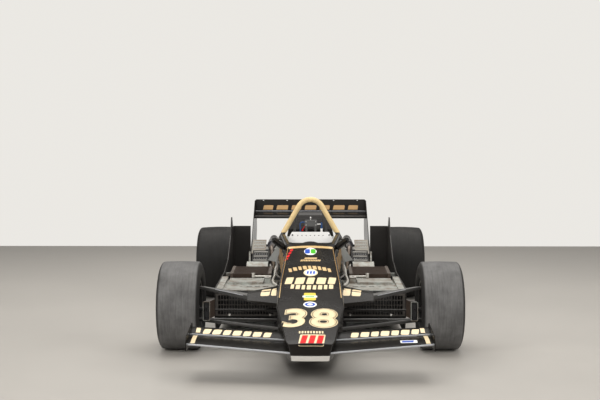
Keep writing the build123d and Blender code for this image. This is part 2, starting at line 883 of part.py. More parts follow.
def deflector_panel():
    """The upright panel across the back of a pod, its low inner part and the wall of the tunnel."""
    low, front = 306, at(deflector_station - 6)
    panel = Box(pod_outer - tunnel_outer, 6, deflector_top - low, align=(Align.MIN, Align.MAX, Align.MIN))
    panel = Pos(tunnel_outer, at(deflector_station), low) * panel
    roof = tunnel_roof_line()
    wall = [(deflector_station - 6, low), *roof, (roof[-1][0], low + 90)]
    inner_height = roof[0][1] - roof_sheet - fit_gap - low
    size = (tunnel_outer - roof_inner, 6, inner_height)
    inner = Pos(roof_inner, front, low) * Box(*size, align=(Align.MIN, Align.MIN, Align.MIN))
    return panel + inner + plate(wall, tunnel_outer - 6, 6)


def tunnel_roof_line():
    return [(deflector_station - 6, 440), (tunnel_wall_end, 540)]


def tunnel_roof():
    """The bare sheet that closes the tunnel's way out from above, between the exhaust and the tunnel wall."""
    start, end = tunnel_roof_line()
    outline = [start, end, (end[0], end[1] - roof_sheet), (start[0], start[1] - roof_sheet)]
    return plate(outline, roof_inner, tunnel_outer - 6 - roof_inner)


# Wings

def aerofoil(chord, thickness, camber):
    """A wing section: round leading edge, belly below, blunt trailing edge. The chord runs along x from 0."""
    upper = ThreePointArc((0, 0), (0.42 * chord, thickness - camber), (chord, 1.5))
    lower = ThreePointArc((chord, -1.5), (0.42 * chord, -camber), (0, 0))
    face = make_face(Curve() + [upper, Line((chord, 1.5), (chord, -1.5)), lower])
    return fillet(face.vertices().sort_by(Axis.X)[0], thickness * 0.16)


def wing_section(x, station, height, chord, rise, thickness, camber):
    section = Rot(0, 0, rise) * aerofoil(chord, thickness, camber)
    return Plane(origin=point(x, station, height), x_dir=(0, 1, 0), z_dir=(1, 0, 0)) * section


# x, station and height of the leading edge, chord, rise in degrees, thickness, camber
front_main_sections = [
    (front_wing_root, -1118, 184, 262, 4, 30, 20),
    (front_wing_tip, -1000, 214, 206, 5, 26, 18),
]
front_flap_sections = [
    (front_wing_root, -860, 212, 118, 14, 15, 10),
    (front_wing_tip, -790, 238, 108, 15, 13, 9),
]
rear_wing_station = wheelbase + 476
rear_wing_ends = (-rear_wing_half_span, rear_wing_half_span)
rear_main_sections = [(x, rear_wing_station, rear_wing_height, 246, 9, 44, 30) for x in rear_wing_ends]
rear_flap_sections = [
    (x, rear_wing_station + 205, rear_wing_height + 50, 150, 48, 16, 9) for x in rear_wing_ends
]


def wing(rows, body=None):
    shape = loft([wing_section(*row) for row in rows], ruled=True)
    return shape - body if body else shape


def front_endplate():
    outline = [(-1012, 176), (-1012, 236), (-976, 262), (-690, 292), (-676, 280), (-676, 176)]
    return plate(outline, front_wing_tip, wing_plate)


def rear_endplate():
    """A large plate that reaches forward beside the gearbox, with cut corners."""
    outline = [
        (wheelbase - 220, 446), (wheelbase + 440, 845), (wheelbase + 474, rear_wing_top),
        (tail_station - 16, rear_wing_top), (tail_station, rear_wing_top - 16),
        (tail_station, 560), (tail_station - 70, 470),
        (wheelbase + 440, 404), (wheelbase + 360, 404), (wheelbase + 260, 446),
    ]
    return plate(outline, rear_wing_half_span, wing_plate)


def rear_wing_posts():
    """The centre posts on the gearbox and the cross tube that steadies the end plates."""
    foot, head = gearbox_end - 100, rear_wing_station + 54
    station, height, top = gearbox_end - 20, 440, rear_wing_height - 12
    posts = rod(point(-rear_wing_half_span, station, height), point(rear_wing_half_span, station, height), 11)
    for x in (-34, 26):
        posts += plate([(foot, 404), (foot + 95, 404), (head + 80, top), (head, top)], x, 8)
    return posts


# Suspension

def front_wishbones(body):
    """The two lower legs of each front corner and their ball joints."""
    x, _, z = kingpin_low
    outer = point(x - joint_radius, 0, z)
    arms = rod(outer, point(200, -150, 161), 12) + rod(outer, point(200, 205, 161), 12)
    return arms + ball(point(x, 0, z), joint_radius) - body


def facing_out(origin):
    """The plane at a point, square to x, with local x along the car and local y up."""
    return Plane(origin=origin, x_dir=(0, 1, 0), z_dir=(1, 0, 0))


def front_rocker_arm():
    """The fabricated upper arm, a tapered box from the housing to the top ball joint."""
    x, _, z = kingpin_high
    inner = facing_out(point(rocker_pivot_x, 18, 356)) * RectangleRounded(108, 34, 8)
    outer = facing_out(point(x - joint_radius, 0, z)) * RectangleRounded(30, 22, 6)
    return loft([inner, outer]) + ball(point(x, 0, z), joint_radius)


def front_upright():
    """The upright: bearing boss, a web between the ball joints, steering arm and brake caliper."""
    radius = front_tyre["radius"]
    inner = kingpin_low[0]
    boss_in, boss_out = inner + 5, inner + 53
    boss = rod(point(boss_in, 0, radius), point(boss_out, 0, radius), 44)
    low, high = point(*kingpin_low), point(*kingpin_high)
    web = loft([
        Plane(origin=low + Vector(14, 0, 0), z_dir=(0, 0, 1)) * RectangleRounded(34, 44, 6),
        Plane(origin=point(inner + 15, 0, radius), z_dir=(0, 0, 1)) * RectangleRounded(44, 76, 6),
        Plane(origin=high + Vector(22, 0, 0), z_dir=(0, 0, 1)) * RectangleRounded(30, 40, 6),
    ], ruled=True)
    arm_height = rack_height + arm_lift
    arm = rod(point(inner + 15, 20, arm_height), point(track_pin_x, rack_station, arm_height), 11)
    pin = Pos(track_pin_x, at(rack_station), rack_height - 14) * Cylinder(
        pin_radius, arm_lift + 14, align=(Align.CENTER, Align.CENTER, Align.MIN)
    )
    disc_x = front_track / 2 + front_wheel_face - front_disc_offset
    shape = boss + web + arm + pin + caliper(disc_x, 0, radius)
    shape -= rod(point(boss_in - 60, 0, radius), point(boss_out + 60, 0, radius), axle_radius + fit_gap)
    for joint in (low, high):
        shape -= ball(joint, joint_radius + fit_gap)
    return shape


def caliper(disc_x, station, axle_height):
    """A brake caliper that clasps the disc on its forward side, with its carrier to the upright."""
    start, end = disc_x - disc_thickness / 2 - 34, disc_x + 38
    ring = rod(point(start, station, axle_height), point(end, station, axle_height), caliper_radius)
    ring -= rod(point(start - 1, station, axle_height), point(end + 1, station, axle_height), 78)
    gap = disc_thickness / 2 + 5
    gap_start, gap_end = point(disc_x - gap, station, axle_height), point(disc_x + gap, station, axle_height)
    slot = rod(gap_start, gap_end, disc_radius + 5)
    wedge = [(0, 0), (-200, -70), (-200, 70)]
    corners = [(at(station) + y, axle_height + z) for y, z in wedge]
    part = (ring - slot) & extrude(lengthwise(start) * make_face(Polyline(*corners, close=True)), 130)
    carrier = Pos(start - 8, at(station) - 70, axle_height) * Box(30, 76, 50)
    return part + carrier


def brake_duct():
    """The scoop that feeds the front brake, with its pipe to the upright."""
    mouth = across(-60) * Pos(duct_x, duct_z) * RectangleRounded(duct_width, duct_height, 8)
    scoop = extrude(mouth, 64, taper=-3)
    hole = across(-70) * Pos(duct_x, duct_z) * RectangleRounded(duct_width - 5, duct_height - 5, 6)
    bore = extrude(hole, 70, taper=-3)
    pipe = rod(point(duct_x, -66, duct_z), point(kingpin_low[0] - 3, -26, duct_z), 15)
    return (scoop - bore) + pipe


def rear_upright():
    """The rear upright: bearing boss, a web between its pivots and the brake caliper."""
    radius = rear_tyre["radius"]
    x = rear_upright_x
    boss = rod(point(x - 24, wheelbase, radius), point(x + 24, wheelbase, radius), 48)
    web = loft([
        Plane(origin=point(x, wheelbase, rear_low_z), z_dir=(0, 0, 1)) * RectangleRounded(36, 92, 6),
        Plane(origin=point(x, wheelbase, radius), z_dir=(0, 0, 1)) * RectangleRounded(40, 84, 6),
        Plane(origin=point(x, wheelbase, rear_high_z), z_dir=(0, 0, 1)) * RectangleRounded(32, 60, 6),
    ], ruled=True)
    shape = boss + web + caliper(rear_track / 2 + rear_wheel_face - rear_disc_offset, wheelbase, radius)
    axle = rod(point(x - 200, wheelbase, radius), point(x + 100, wheelbase, radius), axle_radius + fit_gap)
    return shape - axle


def rear_lower_wishbone(case):
    """The wide lower wishbone of a rear corner."""
    outer, brace = rear_upright_x - 18, rear_upright_x - 138
    arms = rod(point(brace, wheelbase - 50, rear_low_z), point(brace, wheelbase + 55, rear_low_z), 9)
    for out, inboard in ((-34, -150), (34, 180)):
        arms += rod(point(outer, wheelbase + out, rear_low_z), point(80, wheelbase + inboard, rear_low_z), 13)
    return arms - case


def rear_upper_arm(case):
    """The upper arm of a rear corner, a tapered box."""
    inner = facing_out(point(90, wheelbase - 40, 430)) * RectangleRounded(70, 26, 6)
    outer = facing_out(point(rear_upright_x - 16, wheelbase, rear_high_z)) * RectangleRounded(36, 22, 6)
    return loft([inner, outer]) - case


def rear_damper(case):
    """An inboard spring and damper beside the gearbox, on its two pins."""
    low, high = point(158, damper_station, 236), point(158, damper_station, 486)
    along = (high - low).normalized()
    unit = rod(low, high, 12) + rod(low + along * 40, high - along * 60, 20)
    for number in range(6):
        unit += Plane(origin=low + along * (52 + 24 * number), z_dir=along) * Torus(25, 6)
    for end in (low, high):
        unit += rod(end, point(60, damper_station, end.Z), 9)
    top_link = rod(point(60, damper_station, high.Z), point(60, damper_station, 400), 9)
    return unit + top_link - case


def body_pieces():
    nose = body_loft(nose_sections)
    outside = body_loft(tub_sections)
    tank = fuel_tank()
    case = gearbox()
    block = engine_block()
    body = outside + tank + block
    upright = rear_upright()
    rear_arms = [rear_lower_wishbone(case) - upright, rear_upper_arm(case) - upright]
    front_planes = [wing(front_main_sections, nose), wing(front_flap_sections, nose)]
    wing_planes = [wing(rear_main_sections), wing(rear_flap_sections)]
    return {
        "nose_cone": nose_cone(nose),
        "nose_lip": nose_lip(nose),
        "upper_cowl": upper_cowl(outside),
        "tub": tub(outside),
        "coaming": coaming(outside),
        "fuel_tank": tank,
        "rocker_housings": both_sides(rocker_housing(outside)),
        "seat": seat(),
        "seat_back_panel": seat_back_panel(),
        "dash": dash(),
        "roll_hoop": roll_hoop(),
        "hoop_padding": hoop_padding(),
        "mirrors": both_sides(mirror_pod(outside)),
        "engine_block": block,
        "cam_covers": both_sides(cam_cover()),
        "intake_trumpets": intake_trumpets(),
        "intake_screen": intake_screen(),
        "metering_box": metering_box(),
        "exhausts": both_sides(exhaust(block)),
        "gearbox": case,
        "pod_side_plates": both_sides(pod_side_plate()),
        "pod_floors": both_sides(pod_floor(body)),
        "pod_grilles": both_sides(pod_grille(body)),
        "pod_frames": both_sides(Compound([*pod_tray(body).solids(), *pod_beams(body)])),
        "radiator_cores": both_sides(radiator_core()),
        "radiator_tanks": both_sides(Compound(radiator_tanks())),
        "pod_ducts": both_sides(pod_duct(body)),
        "deflector_panels": both_sides(deflector_panel()),
        "tunnel_roofs": both_sides(tunnel_roof()),
        "front_wings": both_sides(Compound(front_planes)),
        "front_endplates": both_sides(front_endplate()),
        "rear_wing": Compound(wing_planes),
        "rear_endplates": both_sides(rear_endplate()),
        "rear_wing_posts": rear_wing_posts() - case - wing_planes[0],
        "front_wishbones": both_sides(front_wishbones(outside)),
        "front_rocker_arms": both_sides(front_rocker_arm()),
        "rear_uprights": both_sides(upright),
        "rear_arms": both_sides(Compound(rear_arms)),
        "rear_dampers": both_sides(rear_damper(case)),
    }


def moving_pieces():
    upright = front_upright() + brake_duct()
    pieces = {
        "steering_wheel": steering_wheel(),
        "rack_housing": rack_housing(),
        "steering_rack": steering_rack(),
        "front_left_upright": upright,
        "front_right_upright": other_side(upright),
    }
    pieces.update(wheel_set(front_tyre, 0, front_track, front_wheel_face, front_hub(), "front"))
    pieces.update(wheel_set(rear_tyre, wheelbase, rear_track, rear_wheel_face, rear_hub(), "rear"))
    return pieces


def write_parts(pieces):
    os.makedirs("parts", exist_ok=True)
    for name, shape in pieces.items():
        export_step(shape, f"parts/{name}.step")


write_parts({**body_pieces(), **moving_pieces()})
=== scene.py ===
import math
import bpy
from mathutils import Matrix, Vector


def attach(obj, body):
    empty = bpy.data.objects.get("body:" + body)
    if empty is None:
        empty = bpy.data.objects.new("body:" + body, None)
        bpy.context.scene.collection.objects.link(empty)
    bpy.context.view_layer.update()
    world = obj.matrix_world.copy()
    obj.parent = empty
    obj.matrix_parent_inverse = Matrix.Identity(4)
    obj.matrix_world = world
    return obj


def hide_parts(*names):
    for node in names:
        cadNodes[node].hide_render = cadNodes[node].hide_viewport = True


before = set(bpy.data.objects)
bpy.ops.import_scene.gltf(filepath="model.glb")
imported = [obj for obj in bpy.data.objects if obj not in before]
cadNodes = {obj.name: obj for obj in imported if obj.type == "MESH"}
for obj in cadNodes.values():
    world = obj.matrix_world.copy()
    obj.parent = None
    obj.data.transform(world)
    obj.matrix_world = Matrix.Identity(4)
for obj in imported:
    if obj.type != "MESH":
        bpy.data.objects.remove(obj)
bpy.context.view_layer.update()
frontAxleY = -1.095  # the front axle; a station is a distance behind it
axles = {"front": dict(station=0.0, height=0.3, x=0.8805), "rear": dict(station=2.54, height=0.325, x=0.816)}
signs = (-1, 1)


def at(station):
    return frontAxleY + station


def steps(low, high, count):
    return [low + (high - low) * number / (count - 1) for number in range(count)]


def bothSides(rows):  # the same rows for x and for -x
    return [(sign * row[0], *row[1:]) for row in rows for sign in (1, -1)]


# Hand tools

def setMode(mode):
    bpy.ops.object.mode_set(mode=mode)


def setAll(thing, **settings):
    for name, value in settings.items():
        setattr(thing, name, value)


def clearSelection():
    bpy.ops.object.select_all(action="DESELECT")


def activate(obj):
    clearSelection()
    obj.select_set(True)
    bpy.context.view_layer.objects.active = obj


def inScene(name, data):
    obj = bpy.data.objects.new(name, data)
    bpy.context.scene.collection.objects.link(obj)
    return obj


def addShape(operator, **settings):
    clearSelection()
    operator(**settings)
    return bpy.context.active_object


def removeObject(obj):
    activate(obj)
    bpy.ops.object.delete()


def settle(obj, **settings):  # puts the place, turn and scale into the mesh
    setAll(obj, **settings)
    activate(obj)
    bpy.ops.object.transform_apply(location=True, rotation=True, scale=True)
    return obj


def editAll(obj, *actions):  # each action works on the whole mesh
    activate(obj)
    setMode("EDIT")
    for action in actions:
        bpy.ops.mesh.select_all(action="SELECT")
        action()
    setMode("OBJECT")


def onVerts(obj, test, operator, **settings):  # an operator on the vertices that pass the test
    activate(obj)
    for item in (*obj.data.polygons, *obj.data.edges):
        item.select = False
    for vert in obj.data.vertices:
        vert.select = test(vert)
    setMode("EDIT")
    bpy.ops.mesh.select_mode(type="VERT")
    operator(**settings)
    setMode("OBJECT")


def cutMiddle(obj, rim):  # leaves a rim of a flat shape
    def cut():
        bpy.ops.mesh.inset(thickness=rim)
        bpy.ops.mesh.delete(type="ONLY_FACE")
    editAll(obj, cut)


def addModifier(obj, kind, **settings):
    activate(obj)
    modifier = obj.modifiers.new(kind.lower(), kind)
    setAll(modifier, **settings)
    bpy.ops.object.modifier_apply(modifier=modifier.name)


def joinAll(name, objs):
    clearSelection()
    for obj in objs:
        obj.select_set(True)
    bpy.context.view_layer.objects.active = objs[0]
    if len(objs) > 1:
        bpy.ops.object.join()
    made = bpy.context.view_layer.objects.active
    made.name = name
    return made


def outward():
    bpy.ops.mesh.normals_make_consistent(inside=False)


def mirrored(obj):  # a copy on the other side of the car
    twin = inScene("twin", obj.data.copy())
    flip = dict(constraint_axis=(True, False, False), center_override=(0, 0, 0))
    editAll(twin, lambda: bpy.ops.transform.mirror(**flip), outward)
    return twin


weldDistance = 0.00001


def recalc(obj):
    editAll(obj, lambda: bpy.ops.mesh.remove_doubles(threshold=weldDistance), outward)


def smooth(obj, degrees):
    activate(obj)
    bpy.ops.object.shade_smooth_by_angle(angle=math.radians(degrees))


def reachOf(obj, axis):
    places = [vert.co[axis] for vert in obj.data.vertices]
    return min(places), max(places)


print("stage: tools ready")


# Finishes

def fill(tree, node, values):  # links or sets a node's inputs
    for label, value in values.items():
        socket = node.inputs[label]
        if isinstance(value, bpy.types.NodeSocket):
            tree.links.new(value, socket)
        elif value is not None:
            socket.default_value = (*value[:3], 1) if socket.type == "RGBA" else value


def addNode(tree, kind, values, **settings):
    node = tree.nodes.new(f"ShaderNode{kind}")
    setAll(node, **settings)
    fill(tree, node, values)
    return node


def addMath(tree, operation, first, second=None, clamp=False):
    return addNode(tree, "Math", {0: first, 1: second}, operation=operation, use_clamp=clamp).outputs[0]


def times(tree, first, second, clamp=False):
    return addMath(tree, "MULTIPLY", first, second, clamp)


def plus(tree, first, second, clamp=False):
    return addMath(tree, "ADD", first, second, clamp)


def addNoise(tree, vector, scale, detail=4.0, roughness=0.55):
    values = {"Vector": vector, "Scale": scale, "Detail": detail, "Roughness": roughness}
    return addNode(tree, "TexNoise", values).outputs["Fac"]


def addRange(tree, value, low, high, toLow=0.0, toHigh=1.0):
    values = {"Value": value, "From Min": low, "From Max": high, "To Min": toLow, "To Max": toHigh}
    return addNode(tree, "MapRange", values).outputs["Result"]


def addMix(tree, mask, first, second, blend="MIX"):
    node = addNode(tree, "Mix", {"Factor": mask}, data_type="RGBA", blend_type=blend)
    colours = [index for index, socket in enumerate(node.inputs) if socket.type == "RGBA"]
    fill(tree, node, dict(zip(colours, (first, second))))
    return [socket for socket in node.outputs if socket.type == "RGBA"][0]


def axesOf(tree, vector):
    return addNode(tree, "SeparateXYZ", {0: vector}).outputs


def newGroup(name, inputs, outputs):  # inputs and outputs by label and kind
    group = bpy.data.node_groups.new(name, "ShaderNodeTree")
    for way, sockets in (("INPUT", inputs), ("OUTPUT", outputs)):
        for label, kind in sockets.items():
            group.interface.new_socket(name=label, in_out=way, socket_type=f"NodeSocket{kind}")
    return group, group.nodes.new("NodeGroupInput").outputs, group.nodes.new("NodeGroupOutput")


def makeMottle():  # slow and fast changes of tone
    inputs = dict(Vector="Vector", Scale="Float", Colour="Color", Spread="Float")
    group, start, end = newGroup("mottle", inputs, dict(Colour="Color", Value="Float"))
    slow = addNoise(group, start["Vector"], start["Scale"], 3.0)
    fast = addNoise(group, start["Vector"], times(group, start["Scale"], 9.0), 5.0)
    both = plus(group, times(group, slow, 0.65), times(group, fast, 0.35))
    level = times(group, addMath(group, "SUBTRACT", both, 0.5), start["Spread"])
    bright = plus(group, times(group, level, 4.0), 1.0)
    scaled = addNode(group, "VectorMath", {0: start["Colour"], "Scale": bright}, operation="SCALE")
    fill(group, end, {"Colour": scaled.outputs[0], "Value": both})
    return group


def makeEdgeWear():  # bare edges, broken up by noise
    inputs = dict(Vector="Vector", Width="Float", Amount="Float")
    group, start, end = newGroup("edgeWear", inputs, dict(Mask="Float"))
    bevel = addNode(group, "Bevel", {"Radius": start["Width"]}, samples=3)
    face = addNode(group, "NewGeometry", {})
    normals = {0: bevel.outputs["Normal"], 1: face.outputs["Normal"]}
    dot = addNode(group, "VectorMath", normals, operation="DOT_PRODUCT")
    turned = addRange(group, dot.outputs["Value"], 0.999, 0.93)
    broken = addRange(group, addNoise(group, start["Vector"], 55.0), 0.42, 0.6)
    fill(group, end, {"Mask": times(group, times(group, turned, broken), start["Amount"], clamp=True)})
    return group


def makeDust():  # what settles on surfaces that face up
    group, start, end = newGroup("dust", dict(Vector="Vector", Amount="Float"), dict(Mask="Float"))
    normal = addNode(group, "NewGeometry", {}).outputs["Normal"]
    upward = addRange(group, axesOf(group, normal)["Z"], 0.1, 1.0)
    patchy = addRange(group, addNoise(group, start["Vector"], 7.0, 6.0, 0.6), 0.35, 0.7, 0.25, 1.0)
    fill(group, end, {"Mask": times(group, times(group, upward, patchy), start["Amount"], clamp=True)})
    return group


groups = {"mottle": makeMottle(), "edgeWear": makeEdgeWear(), "dust": makeDust()}


def placeGroup(tree, name, vector, **values):
    node = addNode(tree, "Group", {}, node_tree=groups[name])
    fill(tree, node, {"Vector": vector, **values})
    return node.outputs


finishes = {}


def newFinish(name):
    finishes[name] = bpy.data.materials.new(name)
    finishes[name].use_nodes = True
    tree = finishes[name].node_tree
    return tree, tree.nodes["Principled BSDF"], addNode(tree, "TexCoord", {}).outputs["Object"]


def stretched(tree, vector, scale):
    return addNode(tree, "Mapping", {"Scale": scale, "Vector": vector}).outputs[0]


def roughFrom(tree, value, low, high):
    return addRange(tree, value, 0.3, 0.7, low, high)


def setShader(tree, shader, colour, rough, height, depth, strength, **others):
    fill(tree, shader, {"Base Color": colour, "Roughness": rough, **others})
    if height:
        bump = addNode(tree, "Bump", {"Distance": depth, "Strength": strength, "Height": height})
        fill(tree, shader, {"Normal": bump.outputs[0]})


# What a look has where it says nothing else; scale and spread are of the mottle, grain is the scale of the bumps
plainLook = dict(scale=6.0, spread=0.2, metal=0.0, coat=0.0, coatRough=0.05, specular=0.5, wear=0.0, wearWidth=0.002,
                 wearColour=(0.45, 0.44, 0.42), stain=0.0, stainColour=(0.17, 0.12, 0.085), dust=0.0,
                 dustColour=(0.33, 0.3, 0.26), dustRough=0.5, grain=0.0, depth=0.0, stretch=(1, 1, 1), bump=0.5)


def makeFinish(name, look):
    look = {**plainLook, **look}
    tree, shader, coords = newFinish(name)
    colour, tone = placeGroup(tree, "mottle", coords, Scale=look["scale"], Colour=look["colour"], Spread=look["spread"])
    rough = roughFrom(tree, tone, *look["rough"])
    if look["wear"]:
        wear = placeGroup(tree, "edgeWear", coords, Width=look["wearWidth"], Amount=look["wear"])[0]
        colour = addMix(tree, wear, colour, look["wearColour"])
    if look["stain"]:  # brown patches
        patches = addRange(tree, addNoise(tree, coords, 11.0, 6.0, 0.7), 0.44, 0.62)
        colour = addMix(tree, times(tree, patches, look["stain"]), colour, look["stainColour"])
    if look["dust"]:
        dust = placeGroup(tree, "dust", coords, Amount=look["dust"])[0]
        colour = addMix(tree, dust, colour, look["dustColour"])
        rough = plus(tree, rough, times(tree, dust, look["dustRough"]), clamp=True)
    fixed = {"Metallic": look["metal"], "Coat Weight": look["coat"], "Coat Roughness": look["coatRough"],
             "Specular IOR Level": look["specular"]}
    fine = addNoise(tree, stretched(tree, coords, look["stretch"]), look["grain"], 3.0) if look["grain"] else None
    setShader(tree, shader, colour, rough, fine, look["depth"], look["bump"], **fixed)


looks = {
    "glossBlack": dict(colour=(0.0095, 0.0082, 0.007), spread=0.1, rough=(0.2, 0.29), coat=0.04, coatRough=0.08,
                       dust=0.02, specular=0.13, grain=12.0, depth=0.0003, bump=0.18),
    "wingBlack": dict(colour=(0.009, 0.008, 0.007), spread=0.12, rough=(0.18, 0.27), specular=0.05, dust=0.01,
                      grain=12.0, depth=0.0003, bump=0.18),
    "mirrorBlack": dict(colour=(0.006, 0.0055, 0.005), spread=0.1, rough=(0.3, 0.42), specular=0.07),
    "grilleBlack": dict(colour=(0.085, 0.077, 0.07), rough=(0.5, 0.65), specular=0.3, dust=0.1),
    "plateBlack": dict(colour=(0.022, 0.02, 0.0185), spread=0.15, rough=(0.42, 0.55), coat=0.05, specular=0.3,
                       dust=0.06, grain=14.0, depth=0.0003),
    "deepBlack": dict(colour=(0.009, 0.0085, 0.008), rough=(0.55, 0.7), specular=0.25, dust=0.05),
    "satinBlack": dict(colour=(0.018, 0.017, 0.016), rough=(0.45, 0.62), dust=0.14, wear=0.35,
                       wearColour=(0.3, 0.28, 0.25), grain=90.0, depth=0.0004),
    "frameBlack": dict(colour=(0.03, 0.029, 0.028), spread=0.18, rough=(0.3, 0.48), coat=0.3, dust=0.12, wear=0.6,
                       wearWidth=0.003, wearColour=(0.4, 0.38, 0.35), grain=60.0, depth=0.0004),
    "creamPaint": dict(colour=(0.78, 0.63, 0.385), spread=0.06, rough=(0.35, 0.48), coat=0.12, specular=0.3, dust=0.05),
    "tanPaint": dict(colour=(0.64, 0.44, 0.2), spread=0.1, rough=(0.36, 0.5), coat=0.1, specular=0.3, dust=0.04),
    "goldPaint": dict(colour=(0.33, 0.19, 0.065), spread=0.12, rough=(0.36, 0.5), coat=0.1, specular=0.3, dust=0.04),
    "whitePaint": dict(colour=(0.97, 0.965, 0.95), spread=0.04, rough=(0.35, 0.5), coat=0.4, dust=0.06),
    "redPaint": dict(colour=(0.62, 0.005, 0.007), spread=0.06, rough=(0.4, 0.5), specular=0.1),
    "bluePaint": dict(colour=(0.012, 0.07, 0.42), spread=0.08, rough=(0.4, 0.5), specular=0.1),
    "greenPaint": dict(colour=(0.06, 0.42, 0.015), spread=0.08, rough=(0.4, 0.5), specular=0.1),
    "yellowPaint": dict(colour=(0.75, 0.55, 0.05), spread=0.08, rough=(0.4, 0.5), coat=0.05, specular=0.25),
    "brownPaint": dict(colour=(0.06, 0.042, 0.032), rough=(0.4, 0.55), coat=0.2, dust=0.25, wear=0.4,
                       wearColour=(0.3, 0.25, 0.2)),
    "springYellow": dict(colour=(0.5, 0.34, 0.05), spread=0.15, rough=(0.35, 0.5), coat=0.3, dust=0.15),
    "hoseBlue": dict(colour=(0.02, 0.07, 0.2), spread=0.15, rough=(0.4, 0.55), specular=0.3),
    "bareSheet": dict(colour=(0.5, 0.52, 0.51), spread=0.16, scale=9.0, rough=(0.34, 0.55), metal=0.75, dust=0.3,
                      wear=0.4, wearColour=(0.75, 0.75, 0.74), grain=60.0, depth=0.0006, stretch=(1, 6, 1)),
    "agedSheet": dict(colour=(0.3, 0.285, 0.25), spread=0.3, scale=9.0, rough=(0.4, 0.62), metal=0.6, dust=0.35,
                      stain=0.6, wear=0.4, wearColour=(0.5, 0.5, 0.48), grain=60.0, depth=0.0006),
    "panelGrey": dict(colour=(0.385, 0.4, 0.37), scale=10.0, rough=(0.4, 0.6), metal=0.35, dust=0.3, stain=0.85,
                      wear=0.5, wearColour=(0.7, 0.7, 0.68), grain=80.0, depth=0.0005),
    "unitGrey": dict(colour=(0.125, 0.125, 0.125), scale=18.0, rough=(0.42, 0.6), metal=0.5, dust=0.2, wear=0.5,
                     wearColour=(0.5, 0.5, 0.49), grain=200.0, depth=0.0006),
    # a pale grey for bars that are painted highlights along edges
    "highlightGrey": dict(colour=(0.42, 0.43, 0.45), spread=0.12, scale=16.0, rough=(0.35, 0.5), metal=0.5, dust=0.04),
    "paleMetal": dict(colour=(0.62, 0.6, 0.55), spread=0.14, scale=16.0, rough=(0.3, 0.48), metal=0.45, dust=0.15,
                      wear=0.3),
    "braidSteel": dict(colour=(0.2, 0.19, 0.18), scale=20.0, rough=(0.35, 0.55), metal=0.7, dust=0.15, grain=700.0,
                       depth=0.0008, bump=0.9),
    "castAlloy": dict(colour=(0.33, 0.33, 0.32), spread=0.25, scale=12.0, rough=(0.48, 0.68), metal=0.8, dust=0.2,
                      wear=0.4, wearColour=(0.6, 0.6, 0.58), grain=260.0, depth=0.0009, bump=0.8),
    "darkCast": dict(colour=(0.05, 0.05, 0.052), spread=0.25, scale=14.0, rough=(0.4, 0.6), metal=0.4, dust=0.15,
                     wear=0.6, grain=420.0, depth=0.0012, bump=0.9),
    "machined": dict(colour=(0.6, 0.6, 0.6), spread=0.12, scale=14.0, rough=(0.22, 0.38), metal=1.0, dust=0.12,
                     grain=90.0, depth=0.0003, stretch=(1, 5, 1)),
    "polished": dict(colour=(0.82, 0.82, 0.81), spread=0.06, rough=(0.1, 0.24), metal=1.0, dust=0.08, grain=40.0,
                     depth=0.0003),
    "mirrorGlass": dict(colour=(0.85, 0.86, 0.88), spread=0.02, rough=(0.02, 0.05), metal=1.0),
    "leather": dict(colour=(0.014, 0.013, 0.012), scale=20.0, rough=(0.5, 0.66), grain=420.0, depth=0.0007, bump=0.8),
    "seatShell": dict(colour=(0.03, 0.03, 0.031), rough=(0.5, 0.66), dust=0.12, grain=300.0, depth=0.0006, bump=0.7),
}


def aroundAxle(tree, coords, axle):  # x, the two ways out from the axle, and the distance from it
    x, y, z = axesOf(tree, coords)
    y = addMath(tree, "SUBTRACT", y, at(axle["station"]))
    z = addMath(tree, "SUBTRACT", z, axle["height"])
    return x, y, z, addMath(tree, "SQRT", plus(tree, times(tree, y, y), times(tree, z, z)))


# The tread is lighter where scuffed; on the front tyres that lighter tread is also a painted highlight, and the rear
# rubber is kept darker all over as painted shade
rubberLook = {
    "front": dict(tread=(0.288, 0.2955), colour=(0.014, 0.0135, 0.013), scuffAndSheen=(0.165, 0.163, 0.162), rough=(0.55, 0.72)),
    "rear": dict(tread=(0.302, 0.32), colour=(0.007, 0.0068, 0.0066), scuffAndSheen=(0.013, 0.0125, 0.012), rough=(0.62, 0.8)),
}


def makeRubber(kind):
    look = {**rubberLook[kind], "dust": (0.2, 0.185, 0.17)}
    tree, shader, coords = newFinish(f"{kind}Rubber")
    x, y, z, radius = aroundAxle(tree, coords, axles[kind])
    angle = addMath(tree, "ARCTAN2", y, z)
    ring = addNode(tree, "CombineXYZ", {0: x, 1: times(tree, angle, 0.3), 2: radius})  # across, round and out
    scuffs = addNoise(tree, stretched(tree, ring.outputs[0], (90, 7, 60)), 1.0, 5.0, 0.7)
    patches = addNoise(tree, coords, 9.0, 4.0, 0.6)
    # scuffed patches of the tread, which also carry the front tyres' painted highlight
    scuffAndSheen = addRange(tree, plus(tree, scuffs, patches), 0.7, 1.35, 0.34, 0.9)
    amount = times(tree, addRange(tree, radius, *look["tread"]), scuffAndSheen)
    dark = placeGroup(tree, "mottle", coords, Scale=14.0, Colour=look["colour"], Spread=0.16)[0]
    dust = placeGroup(tree, "dust", coords, Amount=0.1)[0]
    colour = addMix(tree, dust, addMix(tree, amount, dark, look["scuffAndSheen"]), look["dust"])
    height = plus(tree, times(tree, scuffs, 0.8), times(tree, addNoise(tree, coords, 380.0, 3.0), 0.35))
    fixed = {"Specular IOR Level": 0.35}
    setShader(tree, shader, colour, roughFrom(tree, scuffs, *look["rough"]), height, 0.0009, 0.6, **fixed)


